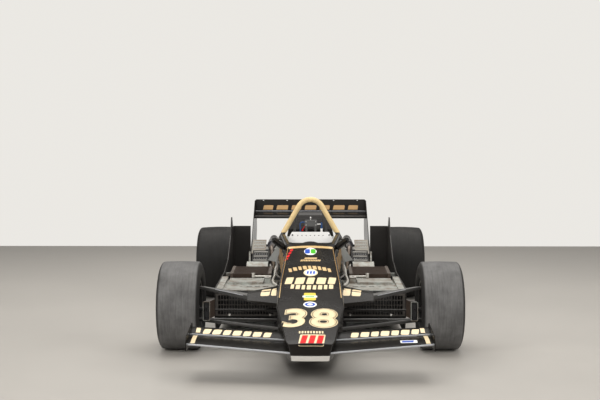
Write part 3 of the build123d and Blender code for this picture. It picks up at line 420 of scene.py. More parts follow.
def makePadding():  # pale tape wound over foam
    look = dict(colour=(0.72, 0.54, 0.27), stain=(0.45, 0.32, 0.15))
    tree, shader, coords = newFinish("paleTape")
    tape = placeGroup(tree, "mottle", coords, Scale=16.0, Colour=look["colour"], Spread=0.1)[0]
    stains = addRange(tree, addNoise(tree, coords, 11.0, 5.0, 0.65), 0.52, 0.75)
    colour = addMix(tree, times(tree, stains, 0.5), tape, look["stain"])
    turns = {"Scale": 9.0, "Distortion": 0.8, "Detail": 1.0, "Vector": coords}
    wave = addNode(tree, "TexWave", turns, bands_direction="DIAGONAL").outputs["Fac"]
    height = plus(tree, times(tree, wave, 0.6), times(tree, addNoise(tree, coords, 70.0, 4.0), 0.5))
    setShader(tree, shader, colour, addRange(tree, wave, 0, 1, 0.42, 0.6), height, 0.0014, 0.7)


heatColours = [(0.1, (0.22, 0.17, 0.12)), (0.35, (0.2, 0.17, 0.155)), (0.55, (0.14, 0.14, 0.175)),
               (0.85, (0.22, 0.21, 0.195)), (1.0, (0.09, 0.083, 0.077))]


def makeExhaustSteel():  # straw near the engine, blue and grey towards the tail
    tree, shader, coords = newFinish("exhaustSteel")
    along = addRange(tree, axesOf(tree, coords)["Y"], at(1.75), at(2.96))
    ramp = addNode(tree, "ValToRGB", {0: plus(tree, along, times(tree, addNoise(tree, coords, 9.0), 0.3))})
    while len(ramp.color_ramp.elements) < len(heatColours):
        ramp.color_ramp.elements.new(0.5)
    for element, (place, colour) in zip(ramp.color_ramp.elements, heatColours):
        setAll(element, position=place, color=(*colour, 1))
    mottle, tone = placeGroup(tree, "mottle", coords, Scale=20.0, Colour=(1, 1, 1), Spread=0.15)
    colour = addMix(tree, 1.0, ramp.outputs["Color"], mottle, "MULTIPLY")
    rough = roughFrom(tree, tone, 0.3, 0.55)
    setShader(tree, shader, colour, rough, addNoise(tree, coords, 120.0), 0.0005, 0.5, Metallic=0.9)


def wavesAlong(tree, axis, pitch):
    return addMath(tree, "SINE", times(tree, axis, 2 * math.pi / pitch))


def makeFins():  # the brown core of a radiator, with fine fins and tubes
    look = dict(colour=(0.075, 0.05, 0.037), dark=(0.012, 0.009, 0.007), pitch=0.0045)
    tree, shader, coords = newFinish("radiatorFins")
    waves = wavesAlong(tree, axesOf(tree, coords)["X"], look["pitch"])
    brown, tone = placeGroup(tree, "mottle", coords, Scale=14.0, Colour=look["colour"], Spread=0.3)
    colour = addMix(tree, addRange(tree, waves, -1, 1, 0.35, 0.0), brown, look["dark"])
    setShader(tree, shader, colour, roughFrom(tree, tone, 0.45, 0.65), waves, 0.0012, 0.9, Metallic=0.4)


def makeGauze():  # woven wire, dark, seen as a solid hood of fine mesh
    look = dict(gap=(0.006, 0.006, 0.006), wire=(0.055, 0.052, 0.05), pitch=0.006)
    tree, shader, coords = newFinish("darkGauze")
    bars = [addRange(tree, wavesAlong(tree, axis, look["pitch"]), 0.1, 0.8) for axis in axesOf(tree, coords)]
    wires = addMath(tree, "MAXIMUM", addMath(tree, "MAXIMUM", bars[0], bars[1]), bars[2])
    colour = addMix(tree, wires, look["gap"], look["wire"])
    setShader(tree, shader, colour, addRange(tree, wires, 0, 1, 0.7, 0.4), wires, 0.0015, 0.9, Metallic=0.5)


# dark is painted shade inside the rim's barrel
wheelLook = dict(gold=(0.55, 0.38, 0.14), steel=(0.3, 0.29, 0.28), dark=(0.018, 0.0175, 0.017),
                 bare=(0.6, 0.55, 0.42), discRadius=0.128, faceX=dict(front=0.9, rear=0.81))


def makeWheelAlloy(kind):  # gold on the face, steel for hub, disc and shaft, and inside the rim a dark colour that is painted shade
    look = wheelLook
    tree, shader, coords = newFinish(f"{kind}Alloy")
    x, y, z, radius = aroundAxle(tree, coords, axles[kind])
    outer = addMath(tree, "GREATER_THAN", addMath(tree, "ABSOLUTE", x), look["faceX"][kind])
    barrelShade = addMath(tree, "GREATER_THAN", radius, look["discRadius"])
    gold, tone = placeGroup(tree, "mottle", coords, Scale=12.0, Colour=look["gold"], Spread=0.12)
    colour = addMix(tree, outer, addMix(tree, barrelShade, look["steel"], look["dark"]), gold)
    wear = placeGroup(tree, "edgeWear", coords, Width=0.002, Amount=0.4)[0]
    colour = addMix(tree, wear, colour, look["bare"])
    metal = times(tree, addMath(tree, "MAXIMUM", outer, addMath(tree, "SUBTRACT", 1.0, barrelShade)), 0.85)
    rough = roughFrom(tree, tone, 0.3, 0.46)
    setShader(tree, shader, colour, rough, addNoise(tree, coords, 120.0), 0.0004, 0.4, Metallic=metal)


for name, look in looks.items():
    makeFinish(name, look)
for kind in axles:
    makeWheelAlloy(kind)
    makeRubber(kind)
makePadding()
makeExhaustSteel()
makeFins()
makeGauze()
print("stage: finishes ready", len(finishes))


def finishPiece(obj, finish, body="chassis"):
    obj.data.materials.clear()
    obj.data.materials.append(finishes[finish])
    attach(obj, body)


# What each solid of the car is finished in
wornBy = {
    "glossBlack": "nose_cone tub upper_cowl rocker_housings",
    "wingBlack": "front_wings front_endplates rear_wing rear_endplates",
    "polished": "nose_lip",
    "satinBlack": "coaming dash",
    "plateBlack": "pod_side_plates deflector_panels steering_rack",
    "agedSheet": "tunnel_roofs",
    "grilleBlack": "pod_grilles",
    "deepBlack": "pod_ducts pod_floors",
    "bareSheet": "fuel_tank",
    "panelGrey": "pod_frames",
    "seatShell": "seat",
    "whitePaint": "seat_back_panel",
    "frameBlack": "roll_hoop rear_wing_posts front_wishbones front_rocker_arms rear_arms rack_housing",
    "paleTape": "hoop_padding",
    "castAlloy": "engine_block gearbox rear_uprights",
    "darkCast": "cam_covers front_left_upright front_right_upright",
    "mirrorBlack": "mirrors",
    "machined": "intake_trumpets",
    "unitGrey": "metering_box",
    "darkGauze": "intake_screen",
    "exhaustSteel": "exhausts",
    "radiatorFins": "radiator_cores",
    "brownPaint": "radiator_tanks",
    "springYellow": "rear_dampers",
    "frontRubber": "front_left_tyre front_right_tyre",
    "rearRubber": "rear_left_tyre rear_right_tyre",
    "frontAlloy": "front_left_wheel front_right_wheel",
    "rearAlloy": "rear_left_wheel rear_right_wheel",
    "leather": "steering_wheel",
}
for finish, names in wornBy.items():
    for nodeName in names.split():
        cadNodes[nodeName].data.materials.clear()
        cadNodes[nodeName].data.materials.append(finishes[finish])
print("stage: solids dressed")


# Markings: thin films of paint laid on the body

film = dict(thickness=0.0003, lift=0.0004, pitch=0.022, startHeight=1.3, stayed=0.01)


def formOf(nodeNames):  # a merged copy of some solids, to lay things on
    form = joinAll("form", [inScene("form", cadNodes[nodeName].data.copy()) for nodeName in nodeNames])
    editAll(form, lambda: bpy.ops.mesh.remove_doubles(threshold=2 * weldDistance))
    return form


def cutAt(axis, place):
    point, normal = [0, 0, 0], [0, 0, 0]
    point[axis], normal[axis] = place, 1
    return lambda: bpy.ops.mesh.bisect(plane_co=point, plane_no=normal)


def cutGrid(obj, pitch):  # cuts a flat shape into cells, so that it can follow a curve
    for axis in (0, 1):
        low, high = reachOf(obj, axis)
        count = max(1, math.ceil((high - low) / pitch))
        editAll(obj, *[cutAt(axis, low + (high - low) * number / count) for number in range(1, count)])


def addBlock(x, y, width, length, slant=0.0, rounding=0.0):
    block = addShape(bpy.ops.mesh.primitive_plane_add, size=1, location=(x, y, film["startHeight"]))
    settle(block, scale=(width, length, 1))
    if slant:
        onVerts(block, lambda vert: vert.co.y > y, bpy.ops.transform.translate, value=(slant, 0, 0))
    if rounding:
        editAll(block, lambda: bpy.ops.mesh.bevel(offset=rounding, segments=3, affect="VERTICES"))
    return block


def addDisc(x, y, width, length, hole=0.0):  # hole is the part of the width that stays open
    disc = addShape(bpy.ops.mesh.primitive_circle_add, vertices=36, radius=0.5, fill_type="NGON",
                    location=(x, y, film["startHeight"]))
    if hole:
        cutMiddle(disc, 0.5 * (1 - hole))
    return settle(disc, scale=(width, length, 1))


numberStyle = dict(align_x="CENTER", align_y="CENTER", shear=0.06, space_character=1.08)


def addNumber(text, weight):  # a plain number as a flat mesh, around the middle
    number = addShape(bpy.ops.object.text_add, location=(0, 0, 0))
    setAll(number.data, body=text, offset=weight, **numberStyle)
    bpy.ops.object.convert(target="MESH")
    return bpy.context.active_object


raceNumber = dict(text="38", x=-0.003, y=-1.776, width=0.35, length=0.333, widest=0.052)


def addRaceNumber(weight):  # every layer is scaled as the widest one
    look = raceNumber
    widest = addNumber(look["text"], look["widest"])
    (left, right), (bottom, top) = reachOf(widest, 0), reachOf(widest, 1)
    removeObject(widest)
    wide, tall = look["width"] / (right - left), look["length"] / (top - bottom)
    place = (look["x"] - wide * (left + right) / 2, look["y"] - tall * (bottom + top) / 2, film["startHeight"])
    return settle(addNumber(look["text"], weight), scale=(wide, tall, 1), location=place)


def finishMarking(name, parts, form, paint, layer, axis, down):
    marking = joinAll(name, parts)
    if axis == "x" and not down:  # starts on the other side
        for vert in marking.data.vertices:
            vert.co.z = -vert.co.z
    cutGrid(marking, film["pitch"])
    if axis != "z":  # drawn flat, then stood up to face along the axis
        settle(marking, rotation_euler=(math.pi / 2, 0, math.pi / 2 if axis == "x" else 0))
    recalc(marking)
    before = [vert.co.copy() for vert in marking.data.vertices]
    axesUsed = {f"use_project_{each}": each == axis for each in "xyz"}
    addModifier(marking, "SHRINKWRAP", target=form, wrap_method="PROJECT", wrap_mode="ABOVE_SURFACE", **axesUsed,
                use_negative_direction=down, use_positive_direction=not down, offset=film["lift"] * layer)
    moved = [(vert.co - place).length for vert, place in zip(marking.data.vertices, before)]
    missed = {index for index, way in enumerate(moved) if way < film["stayed"]}
    if missed:  # what lies past an edge of the form is cut off
        onVerts(marking, lambda vert: vert.index in missed, bpy.ops.mesh.delete, type="VERT")
    addModifier(marking, "SOLIDIFY", thickness=film["thickness"], offset=1.0)
    finishPiece(marking, paint)


def layMarks(nodeNames, marks, axis="z", down=True):
    form = formOf(nodeNames)
    for name, paint, layer, add, rows in marks:
        finishMarking(name, [add(*row) for row in rows], form, paint, layer, axis, down)
    removeObject(form)


def evenRow(low, high, count, share, even=1.0, odd=1.0):  # middle and width of each block of a row
    pitch = (high - low) / count
    return [(low + pitch * (index + 0.5), pitch * share * (odd if index % 2 else even)) for index in range(count)]


def archedRow(low, high, y, length, count, arch, slant, share):
    rows = []
    for x, width in evenRow(low, high, count, share, 0.9, 1.12):
        across = (2 * x - low - high) / (high - low)
        rows.append((x, y - arch * across * across, width, length, slant, min(width, length) * 0.18))
    return rows


# The thin lines along the deck: x and station of their corners
deckLine = dict(width=0.005, path=((0.203, -0.3), (0.2, 0.0), (0.184, 0.4), (0.171, 0.775)))


def lineRows(path):
    rows = []
    for (x, station), (nextX, nextStation) in zip(path, path[1:]):
        for sign in signs:
            rows.append((sign * x, at((station + nextStation) / 2), deckLine["width"], nextStation - station,
                         sign * (nextX - x)))
    return rows


# Marks on the deck: name, paint, layer, shape and rows; a block is x, y, width, length, slant and rounding, a disc
# x, y, width, length and hole, an arched row low x, high x, y, length, count, arch, slant and share
deckMarks = [
    ("race_number_1", "creamPaint", 1, addRaceNumber, [(0.052,)]),
    ("race_number_2", "glossBlack", 2, addRaceNumber, [(0.03,)]),
    ("race_number_3", "creamPaint", 3, addRaceNumber, [(0.02,)]),
    ("nose_blocks_cream", "creamPaint", 1, addBlock,
     archedRow(-0.072, 0.082, -2.013, 0.036, 9, 0.0, 0.0, 0.62)
     + archedRow(-0.142, 0.157, -1.212, 0.085, 8, -0.03, 0.004, 0.68)
     + archedRow(-0.188, 0.178, -1.078, 0.135, 5, -0.02, 0.014, 0.76)),
    ("nose_blocks_tan", "tanPaint", 1, addBlock,
     archedRow(-0.075, 0.072, -0.625, 0.04, 12, 0.0, 0.006, 0.7)
     + archedRow(-0.156, 0.156, -0.79, 0.078, 9, 0.06, -0.008, 0.7) + [(0, -0.5745, 0.09, 0.03, 0.006, 0.004)]),
    ("nose_shield_white", "creamPaint", 1, addBlock, [(0.004, -2.124, 0.15, 0.15, 0.012, 0.008)]),
    ("nose_shield_red", "redPaint", 2, addBlock,
     [(x, -2.122, 0.034, 0.118, 0.014, 0.003) for x in (-0.044, 0.004, 0.052)]),
    ("nose_ring_white", "whitePaint", 1, addDisc, [(-0.002, -1.539, 0.086, 0.104), (0, -0.408, 0.093, 0.18)]),
    ("nose_ring_blue", "bluePaint", 2, addDisc, [(-0.002, -1.539, 0.066, 0.07, 0.55)]),
    ("nose_plate_yellow", "yellowPaint", 1, addBlock, [(-0.003, -1.392, 0.078, 0.14, 0, 0.012)]),
    ("nose_plate_pale", "whitePaint", 2, addBlock, [(-0.003, -1.392, 0.096, 0.036, 0, 0.008)]),
    ("nose_plate_green", "greenPaint", 3, addBlock, [(-0.003, -1.392, 0.06, 0.014, 0, 0.004)]),
    ("nose_oval_pale", "creamPaint", 1, addDisc, [(0.002, -0.902, 0.1, 0.156)]),
    ("nose_oval_white", "whitePaint", 2, addDisc, [(0.002, -0.902, 0.082, 0.116)]),
    ("nose_oval_blue", "bluePaint", 3, addBlock,
     [(0.002 + x, -0.902, 0.014, 0.06, 0.004, 0.003) for x in (-0.022, 0, 0.022)]),
    ("nose_disc_blue", "bluePaint", 2, addBlock, [(-0.0215, -0.408, 0.037, 0.11, 0, 0.012)]),
    ("nose_disc_green", "greenPaint", 2, addBlock, [(0.0215, -0.408, 0.037, 0.11, 0, 0.012)]),
    ("nose_blocks_red", "redPaint", 1, addBlock,
     [(-0.163 - 0.011 * step, -0.466 - 0.07 * step, 0.02, 0.05, 0.008, 0.004) for step in (-1.5, -0.5, 0.5, 1.5)]),
    ("deck_line_ends", "tanPaint", 1, addBlock, lineRows(deckLine["path"][:2])),
    # further back the pinstripe is drawn in a darker gold: partly paint, partly a painted highlight along the deck's
    # rounded edges
    ("deck_lines_and_edge_sheen", "goldPaint", 1, addBlock, lineRows(deckLine["path"][1:])),
    ("cockpit_stripe", "tanPaint", 1, addBlock, [(-0.001, at(0.797), 0.352, 0.04, 0, 0.016)]),
]
shoulderRows = [(0.246, -1.056, 0.05, 0.098, 0.012, 0.012), (0.312, -1.056, 0.062, 0.098, 0.012, 0.012)]
# Blocks on the front flaps: ends of their middle line, then length, slant and rounding
flap = dict(rootX=0.1, tipX=0.731, rootY=-1.906, tipY=-1.841, block=(0.062, 0.01, 0.009))


def flapBlock(x, width):
    share = (x - flap["rootX"]) / (flap["tipX"] - flap["rootX"])
    return x, flap["rootY"] + share * (flap["tipY"] - flap["rootY"]), width, *flap["block"]


wingMarks = [
    ("wing_blocks", "creamPaint", 1, addBlock,
     bothSides([flapBlock(*place) for place in evenRow(0.235, 0.668, 7, 0.76, 0.94, 1.08)])),
    ("wing_stripes", "creamPaint", 1, addBlock,
     bothSides([(0.688, -1.838, 0.026, 0.11), (0.698, -1.998, 0.026, 0.2)])),
    ("wing_patch_white", "whitePaint", 1, addBlock, [(0.586, -2.035, 0.1, 0.05, 0, 0.004)]),
    ("wing_patch_blue", "bluePaint", 2, addBlock, [(0.576, -2.035, 0.07, 0.03, 0.008, 0.003)]),
]
rearRows = [(x, 0.78, width, 0.062, 0.012, 0.01) for x, width in evenRow(-0.495, 0.485, 7, 0.74, 0.92, 1.08)]
flankRows = [(at(station), 0.47 + 0.015 * index, width, 0.12, 0.02, 0.012)
             for index, (station, width) in enumerate(evenRow(0.62, 1.33, 5, 0.72))]
layMarks(["nose_cone", "upper_cowl"], deckMarks)
layMarks(["rocker_housings"], [("shoulder_blocks", "creamPaint", 1, addBlock, bothSides(shoulderRows))])
layMarks(["front_wings"], wingMarks)
layMarks(["rear_wing"], [("rear_blocks", "goldPaint", 1, addBlock, rearRows)], "y", down=False)
for name, down in (("flank_blocks_right", False), ("flank_blocks_left", True)):
    layMarks(["upper_cowl", "tub"], [(name, "goldPaint", 1, addBlock, flankRows)], "x", down)
print("stage: markings laid")


# Small parts laid on the solids

ahead, behind, inward = (0, 1, 0), (0, -1, 0), (0, 0, -1)  # ways of the lines that look for a surface
beside, above = 1.2, 1.0  # where such lines start


def hitOn(nodeNames, origin, direction):  # the nearest place and normal of some solids along a line
    start, way = Vector(origin), Vector(direction).normalized()
    hits = [cadNodes[nodeName].ray_cast(start, way) for nodeName in nodeNames]
    found = [(place, normal) for isHit, place, normal, face in hits if isHit]
    return min(found, key=lambda hit: (hit[0] - start).length, default=None)


def hitsOn(nodeNames, origins, direction):
    hits = [hitOn(nodeNames, origin, direction) for origin in origins]
    return [hit for hit in hits if hit]


def addBar(start, end, radius, sides=12):
    start, end = Vector(start), Vector(end)
    bar = addShape(bpy.ops.mesh.primitive_cylinder_add, vertices=sides, radius=radius, depth=(end - start).length,
                   location=(start + end) / 2)
    return settle(bar, rotation_euler=(end - start).to_track_quat("Z", "Y").to_euler())


def addRing(place, direction, radius, thickness, segments=40):
    ring = addShape(bpy.ops.mesh.primitive_torus_add, major_radius=radius, minor_radius=thickness,
                    major_segments=segments, minor_segments=8, location=place)
    return settle(ring, rotation_euler=Vector(direction).to_track_quat("Z", "Y").to_euler())


def addBall(place, radius):
    return addShape(bpy.ops.mesh.primitive_uv_sphere_add, segments=16, ring_count=10, radius=radius, location=place)


def addSlab(place, size, rounding=0.0, turn=(0, 0, 0)):
    slab = addShape(bpy.ops.mesh.primitive_cube_add, size=1, location=place)
    settle(slab, scale=size, rotation_euler=turn)
    if rounding:
        addModifier(slab, "BEVEL", width=rounding, segments=2, limit_method="ANGLE")
    return slab


def addPipe(radius, *points):
    data = bpy.data.curves.new("pipe", "CURVE")
    setAll(data, dimensions="3D", bevel_depth=radius, bevel_resolution=3, use_fill_caps=True)
    spline = data.splines.new("BEZIER")
    spline.bezier_points.add(len(points) - 1)
    spline.resolution_u = 8
    for knot, place in zip(spline.bezier_points, points):
        setAll(knot, co=place, handle_left_type="AUTO", handle_right_type="AUTO")
    activate(inScene("pipe", data))
    bpy.ops.object.convert(target="MESH")
    return bpy.context.active_object


def placed(sign, x, station, z):
    return sign * x, at(station), z


def bothBars(*rows):  # bars at x and -x: start, end, radius, sides; a place is x, station and height
    return [addBar(placed(sign, *start), placed(sign, *end), *rest) for sign in signs for start, end, *rest in rows]


def finishParts(name, parts, finish="machined", body="chassis", degrees=35):
    piece = joinAll(name, parts)
    recalc(piece)
    smooth(piece, degrees)
    finishPiece(piece, finish, body)


# Bolt and rivet heads: radius, height over the surface, sides
headSizes = dict(
    flap=(0.0055, 0.003, 6), plate=(0.0045, 0.0022, 6), intake=(0.0078, 0.005, 12), rivet=(0.0034, 0.0015, 8),
    unit=(0.0042, 0.002, 6), clip=(0.0062, 0.003, 12), cover=(0.0062, 0.005, 6), case=(0.0065, 0.006, 6),
    hoop=(0.0055, 0.005, 6), roof=(0.0036, 0.002, 6), rim=(0.0048, 0.004, 6),
)


def addHeads(kind, hits):  # sunk a little into what they hold
    radius, height, sides = headSizes[kind]
    return [addBar(place - normal * height * 0.5, place + normal * height, radius, sides) for place, normal in hits]


# Painted highlights along the wing edges, as pale bars: paint, then start, end and radius of the bar along each edge's
# left half
wingHighlights = {
    "front_wing_edge_highlights": ("highlightGrey", [((0.112, at(-1.1135), 0.1845), (0.731, at(-0.9965), 0.2145), 0.0056),
                                      ((0.112, at(-0.8575), 0.2125), (0.731, at(-0.7885), 0.2383), 0.0048)]),
    "rear_wing_highlight": ("braidSteel", [((0.0, at(3.047), 0.7155), (0.535, at(3.047), 0.7155), 0.0042)]),
    "flap_edge_highlight": ("highlightGrey", [((0.0, at(3.2215), 0.7555), (0.535, at(3.2215), 0.7555), 0.0032)]),
}
flapSeal = dict(place=(0, at(3.2245), 0.7553), size=(1.068, 0.0032, 0.024), rounding=0.001,
                turn=(math.radians(-22), 0, 0))  # closes the flap's slot
flapBolts = [(x, at(2.6), 0.856) for x in (-0.467, -0.232, 0.232, 0.467)]
# Lines of heads on upright plates: first station and height, last station and height, how many
sideLines = {
    "rear_endplates": [(3.04, 0.712, 3.22, 0.7408, 5), (3.235, 0.768, 3.307, 0.849, 4)],
    "front_endplates": [(-0.98, 0.214, -0.83, 0.226, 4)],
    "pod_side_plates": [(0.37, 0.357, 1.14, 0.377, 15), (0.4, 0.12, 2.1, 0.12, 24)],
}


def sideHits(nodeName):  # where such lines meet the plates on both sides of the car
    hits = []
    for low, lowZ, high, highZ, count in sideLines[nodeName]:
        for sign in signs:
            places = zip(steps(low, high, count), steps(lowZ, highZ, count))
            hits += hitsOn([nodeName], [placed(sign, beside, station, z) for station, z in places], (-sign, 0, 0))
    return hits


def setWingParts():
    for name, (finish, edges) in wingHighlights.items():
        bars = [addBar(*edge, 10) for edge in edges]
        finishParts(name, bars + [mirrored(bar) for bar in bars], finish)
    finishParts("flap_seal", [addSlab(**flapSeal)], "wingBlack")
    heads = addHeads("flap", hitsOn(["rear_wing"], flapBolts, ahead))
    heads += addHeads("plate", sideHits("rear_endplates") + sideHits("front_endplates"))
    finishParts("wing_bolts", heads)


setWingParts()
print("stage: wing edges and bolts")


# Side pods: the intake bolts were read off the front, the trays' rivets run in lines
intakeBolts = [(x, at(-0.2), z) for x, z in ((0.579, 0.181), (0.287, 0.181), (0.668, 0.331))]
trayRivets = [(x, at(0.368), above) for x in steps(0.3, 0.62, 9)]
trayRivets += [(0.617, at(station), above) for station in steps(0.4, 0.64, 7)]
trayRivets += [(x, at(station), above) for x in steps(0.36, 0.61, 7) for station in (0.672, 0.918)]
cooler = dict(x=0.44, station=0.926, z=0.385, foot=0.376, neck=0.4058, top=0.41, neckRadius=0.0118, capRadius=0.0145,
              pipeStart=0.432, pipeEnd=0.315, pipeRadius=0.0078)
pumpBox = dict(x=0.322, station=0.795, lid=0.3995, lidSize=(0.05, 0.124, 0.005), seal=0.3955,
               sealSize=(0.0475, 0.1215, 0.004), plug=((0.322, 0.775, 0.4), (0.322, 0.775, 0.4025), 0.011, 18))
# Pipes along the tub's sides: radius, then x, station and height of each point
coolantPipes = [
    (0.0095, (0.245, 0.56, 0.36), (0.274, 0.64, 0.372), (0.274, 0.92, 0.395), (0.27, 1.2, 0.43), (0.24, 1.36, 0.46)),
    (0.015, (0.318, 1.26, 0.4), (0.306, 1.34, 0.38), (0.298, 1.5, 0.35), (0.27, 1.66, 0.31), (0.16, 1.74, 0.28)),
]
oilPipes = [
    (0.007, (0.225, 0.7, 0.4), (0.252, 0.76, 0.412), (0.256, 1.0, 0.44), (0.262, 1.24, 0.485), (0.25, 1.37, 0.51)),
]


def setPodBolts():
    front = hitsOn(["pod_grilles", "pod_floors", "pod_side_plates"], bothSides(intakeBolts), ahead)
    rivets = sideHits("pod_side_plates") + hitsOn(["pod_frames"], bothSides(trayRivets), inward)
    finishParts("pod_bolts", addHeads("intake", front), "polished")
    finishParts("pod_rivets", addHeads("rivet", rivets))


def setCoolerParts():  # pale caps and pipes over the header tanks, and the pump box's lid
    look, x, station = cooler, cooler["x"], cooler["station"]
    pale = bothBars(((x, station, look["foot"]), (x, station, look["neck"]), look["neckRadius"], 20),
                    ((x, station, look["neck"]), (x, station, look["top"]), look["capRadius"], 8),
                    ((look["pipeStart"], station, look["z"]), (look["pipeEnd"], station, look["z"]),
                     look["pipeRadius"], 14))
    look, x, station = pumpBox, pumpBox["x"], pumpBox["station"]
    dark = bothBars(look["plug"])
    for sign in signs:
        pale.append(addSlab(placed(sign, x, station, look["lid"]), look["lidSize"], 0.0015))
        dark.append(addSlab(placed(sign, x, station, look["seal"]), look["sealSize"]))
    finishParts("cooler_caps", pale, "paleMetal")
    finishParts("pump_box_seals", dark, "deepBlack")


def setTubPipes(name, pipes, finish):
    parts = [addPipe(radius, *[placed(sign, *point) for point in points])
             for radius, *points in pipes for sign in signs]
    finishParts(name, parts, finish, degrees=50)


setPodBolts()
setCoolerParts()
setTubPipes("coolant_pipes", coolantPipes, "paleMetal")
setTubPipes("oil_pipes", oilPipes, "braidSteel")
print("stage: side pods dressed")


# Metering unit, as x and height: bars with start, end, radius and sides, knobs with place and radius
unit = dict(
    y=at(1.672), line=((-0.0845, 0.632), (-0.0845, 0.7), (-0.083, 0.745), (-0.07, 0.752), (-0.0435, 0.75)),
    lineRadius=0.0048, hose=((0.0938, 0.7), (0.0938, 0.751), 0.0075, 16),
    base=((0.0938, 0.63), (0.0938, 0.7), 0.0095, 16),
    stem=((0.0017, 0.766), (0.0017, 0.786), 0.004), cap=((0.0017, 0.79), 0.0085),
    link=((0.0525, 0.735), (0.0938, 0.735), 0.0045), lever=((-0.0435, 0.724), (-0.066, 0.69), 0.0024),
    knob=((-0.066, 0.684), 0.0068), bolts=[(x, at(1.4), z) for x in (-0.036, 0.045) for z in (0.73, 0.758)],
)
panelClips = [(-0.1447, at(0.9), 0.673), (0.152, at(0.9), 0.673)]


def unitPlace(place):
    return place[0], unit["y"], place[1]


def unitBar(name):
    start, end, *rest = unit[name]
    return addBar(unitPlace(start), unitPlace(end), *rest)


def unitBall(name):
    return addBall(unitPlace(unit[name][0]), unit[name][1])


def setMeteringParts():
    line = addPipe(unit["lineRadius"], *[unitPlace(place) for place in unit["line"]])
    finishParts("metering_lines", [line, unitBar("hose")], "hoseBlue", degrees=50)
    finishParts("metering_line_base", [unitBar("base")], "whitePaint")
    bright = [unitBar("stem"), unitBall("cap"), unitBar("link")]
    bright += addHeads("unit", hitsOn(["metering_box"], unit["bolts"], ahead))
    finishParts("metering_fittings", bright, "polished")
    finishParts("metering_lever", [unitBar("lever"), unitBall("knob")], "redPaint")
    clips = addHeads("clip", hitsOn(["seat_back_panel"], panelClips, ahead))
    finishParts("panel_fasteners", clips, "deepBlack")


setMeteringParts()
print("stage: metering unit dressed")


# Brake ducts: the bare lip of each mouth, and the wedge that carries it back to the disc
ductLook = dict(place=(0.7, -0.1248, 0.276), size=(0.0475, 0.1315, 1), corner=0.009, lip=0.0035, depth=0.002)
cheekLook = dict(place=(0.68, -0.011, 0.276), size=(0.004, 0.09, 0.118), lean=0.02, inside=0.66, spread=0.012)
# a painted highlight along the top front edge of each rocker arm
rockerHighlight = dict(ahead=-0.4, ends=((0.649, 0.4095), (0.4586, 0.3715)), radius=0.0022)  # ends as x and height


def setDuctLip(sign, side):
    look = ductLook
    lip = addShape(bpy.ops.mesh.primitive_plane_add, size=1, location=(0, 0, 0))
    settle(lip, scale=look["size"])
    editAll(lip, lambda: bpy.ops.mesh.bevel(offset=look["corner"], segments=4, affect="VERTICES"))
    cutMiddle(lip, look["lip"])
    addModifier(lip, "SOLIDIFY", thickness=look["depth"], offset=0)
    settle(lip, rotation_euler=(math.pi / 2, 0, 0), location=placed(sign, *look["place"]))
    finishParts(f"duct_lip_{side}", [lip], "panelGrey", f"knuckle_{side}")


def setDuctCheek(sign, side):
    look = cheekLook
    cheek = addSlab(placed(sign, *look["place"]), look["size"])
    onVerts(cheek, lambda vert: vert.co.y > at(0), bpy.ops.transform.translate, value=(-sign * look["lean"], 0, 0))
    onVerts(cheek, lambda vert: vert.co.y > at(0) and abs(vert.co.x) > look["inside"],
            bpy.ops.transform.translate, value=(sign * look["spread"], 0, 0))
    finishParts(f"duct_cheek_{side}", [cheek], "brownPaint", f"knuckle_{side}")


def setRockerHighlights():
    bars = []
    for sign in signs:
        places = [placed(sign, x, rockerHighlight["ahead"], z) for x, z in rockerHighlight["ends"]]
        ends = hitsOn(["front_rocker_arms"], places, ahead)
        if len(ends) == 2:
            bars.append(addBar(ends[0][0], ends[1][0], rockerHighlight["radius"], 8))
    finishParts("rocker_arm_edge_highlights", bars, "highlightGrey")


for setDuctPart in (setDuctLip, setDuctCheek):
    setDuctPart(1, "left")
    setDuctPart(-1, "right")
setRockerHighlights()
print("stage: front corners dressed")


# Engine, gearbox and exhausts
skirt = dict(x=0.215, middle=1.9875, z=0.6075, height=0.155, wall=0.003, length=0.5, ends=(1.739, 2.236), lean=0.03,
             endWidth=0.43, fold=0.6, narrow=0.86)
cover = dict(base=(0.238, 0.446), out=(0.9512, 0.3085), up=(-0.3085, 0.9512), rows=(-0.04, 0.04), away=0.2,
             bolts=(1.78, 2.195, 6))
caseBolts = dict(stations=(2.285, 2.93), z=0.27, count=14, away=0.5, near=0.3, back=3.3, backZ=0.29, width=0.062,
                 height=0.075, turns=(0, 5.498, 8))
exhaust = dict(x=0.35, z=0.5, clamps=(2.36, 2.62), clampLength=0.018, clampRadius=0.0402, boltTop=0.47, boltEnd=0.448,
               boltRadius=0.006, end=2.96, rimStart=-0.002, rim=(0.0366, 0.0022), bore=(-0.001, 0.0004, 0.0345))
hoopBolts = [(x, at(station), 0.66) for x in (0.225, 0.256) for station in (1.356, 1.404)]
hoopBolts += [(x, at(station), 0.66) for x in (0.124, 0.156) for station in (1.64, 1.672)]
tankCaps = [((0, at(1.52), 0.628), (0, at(1.52), 0.64), 0.05, 32),  # start, end, radius, sides
            ((0, at(1.52), 0.638), (0, at(1.52), 0.646), 0.038, 8)]
# Tail lamp: its height, and from, to and radius of housing and lens behind the gearbox
tailLamp = dict(search=3.4, z=0.33, housing=(-0.004, 0.022, 0.036), lens=(0.021, 0.028, 0.031), rounding=0.003)


def setSkirt():  # closes the side of the vee below the guard over the trumpets
    look, walls = skirt, []
    for sign in signs:
        size = (look["wall"], look["length"], look["height"])
        walls.append(addSlab(placed(sign, look["x"], look["middle"], look["z"]), size))
        onVerts(walls[-1], lambda vert: vert.co.z > look["fold"], bpy.ops.transform.translate,
                value=(-sign * look["lean"], 0, 0))
    for station in look["ends"]:
        walls.append(addSlab((0, at(station), look["z"]), (look["endWidth"], look["wall"], look["height"])))
        onVerts(walls[-1], lambda vert: vert.co.z > look["fold"], bpy.ops.transform.resize,
                value=(look["narrow"], 1, 1), center_override=(0, at(station), look["fold"]))
    finishParts("vee_skirt", walls, "deepBlack")


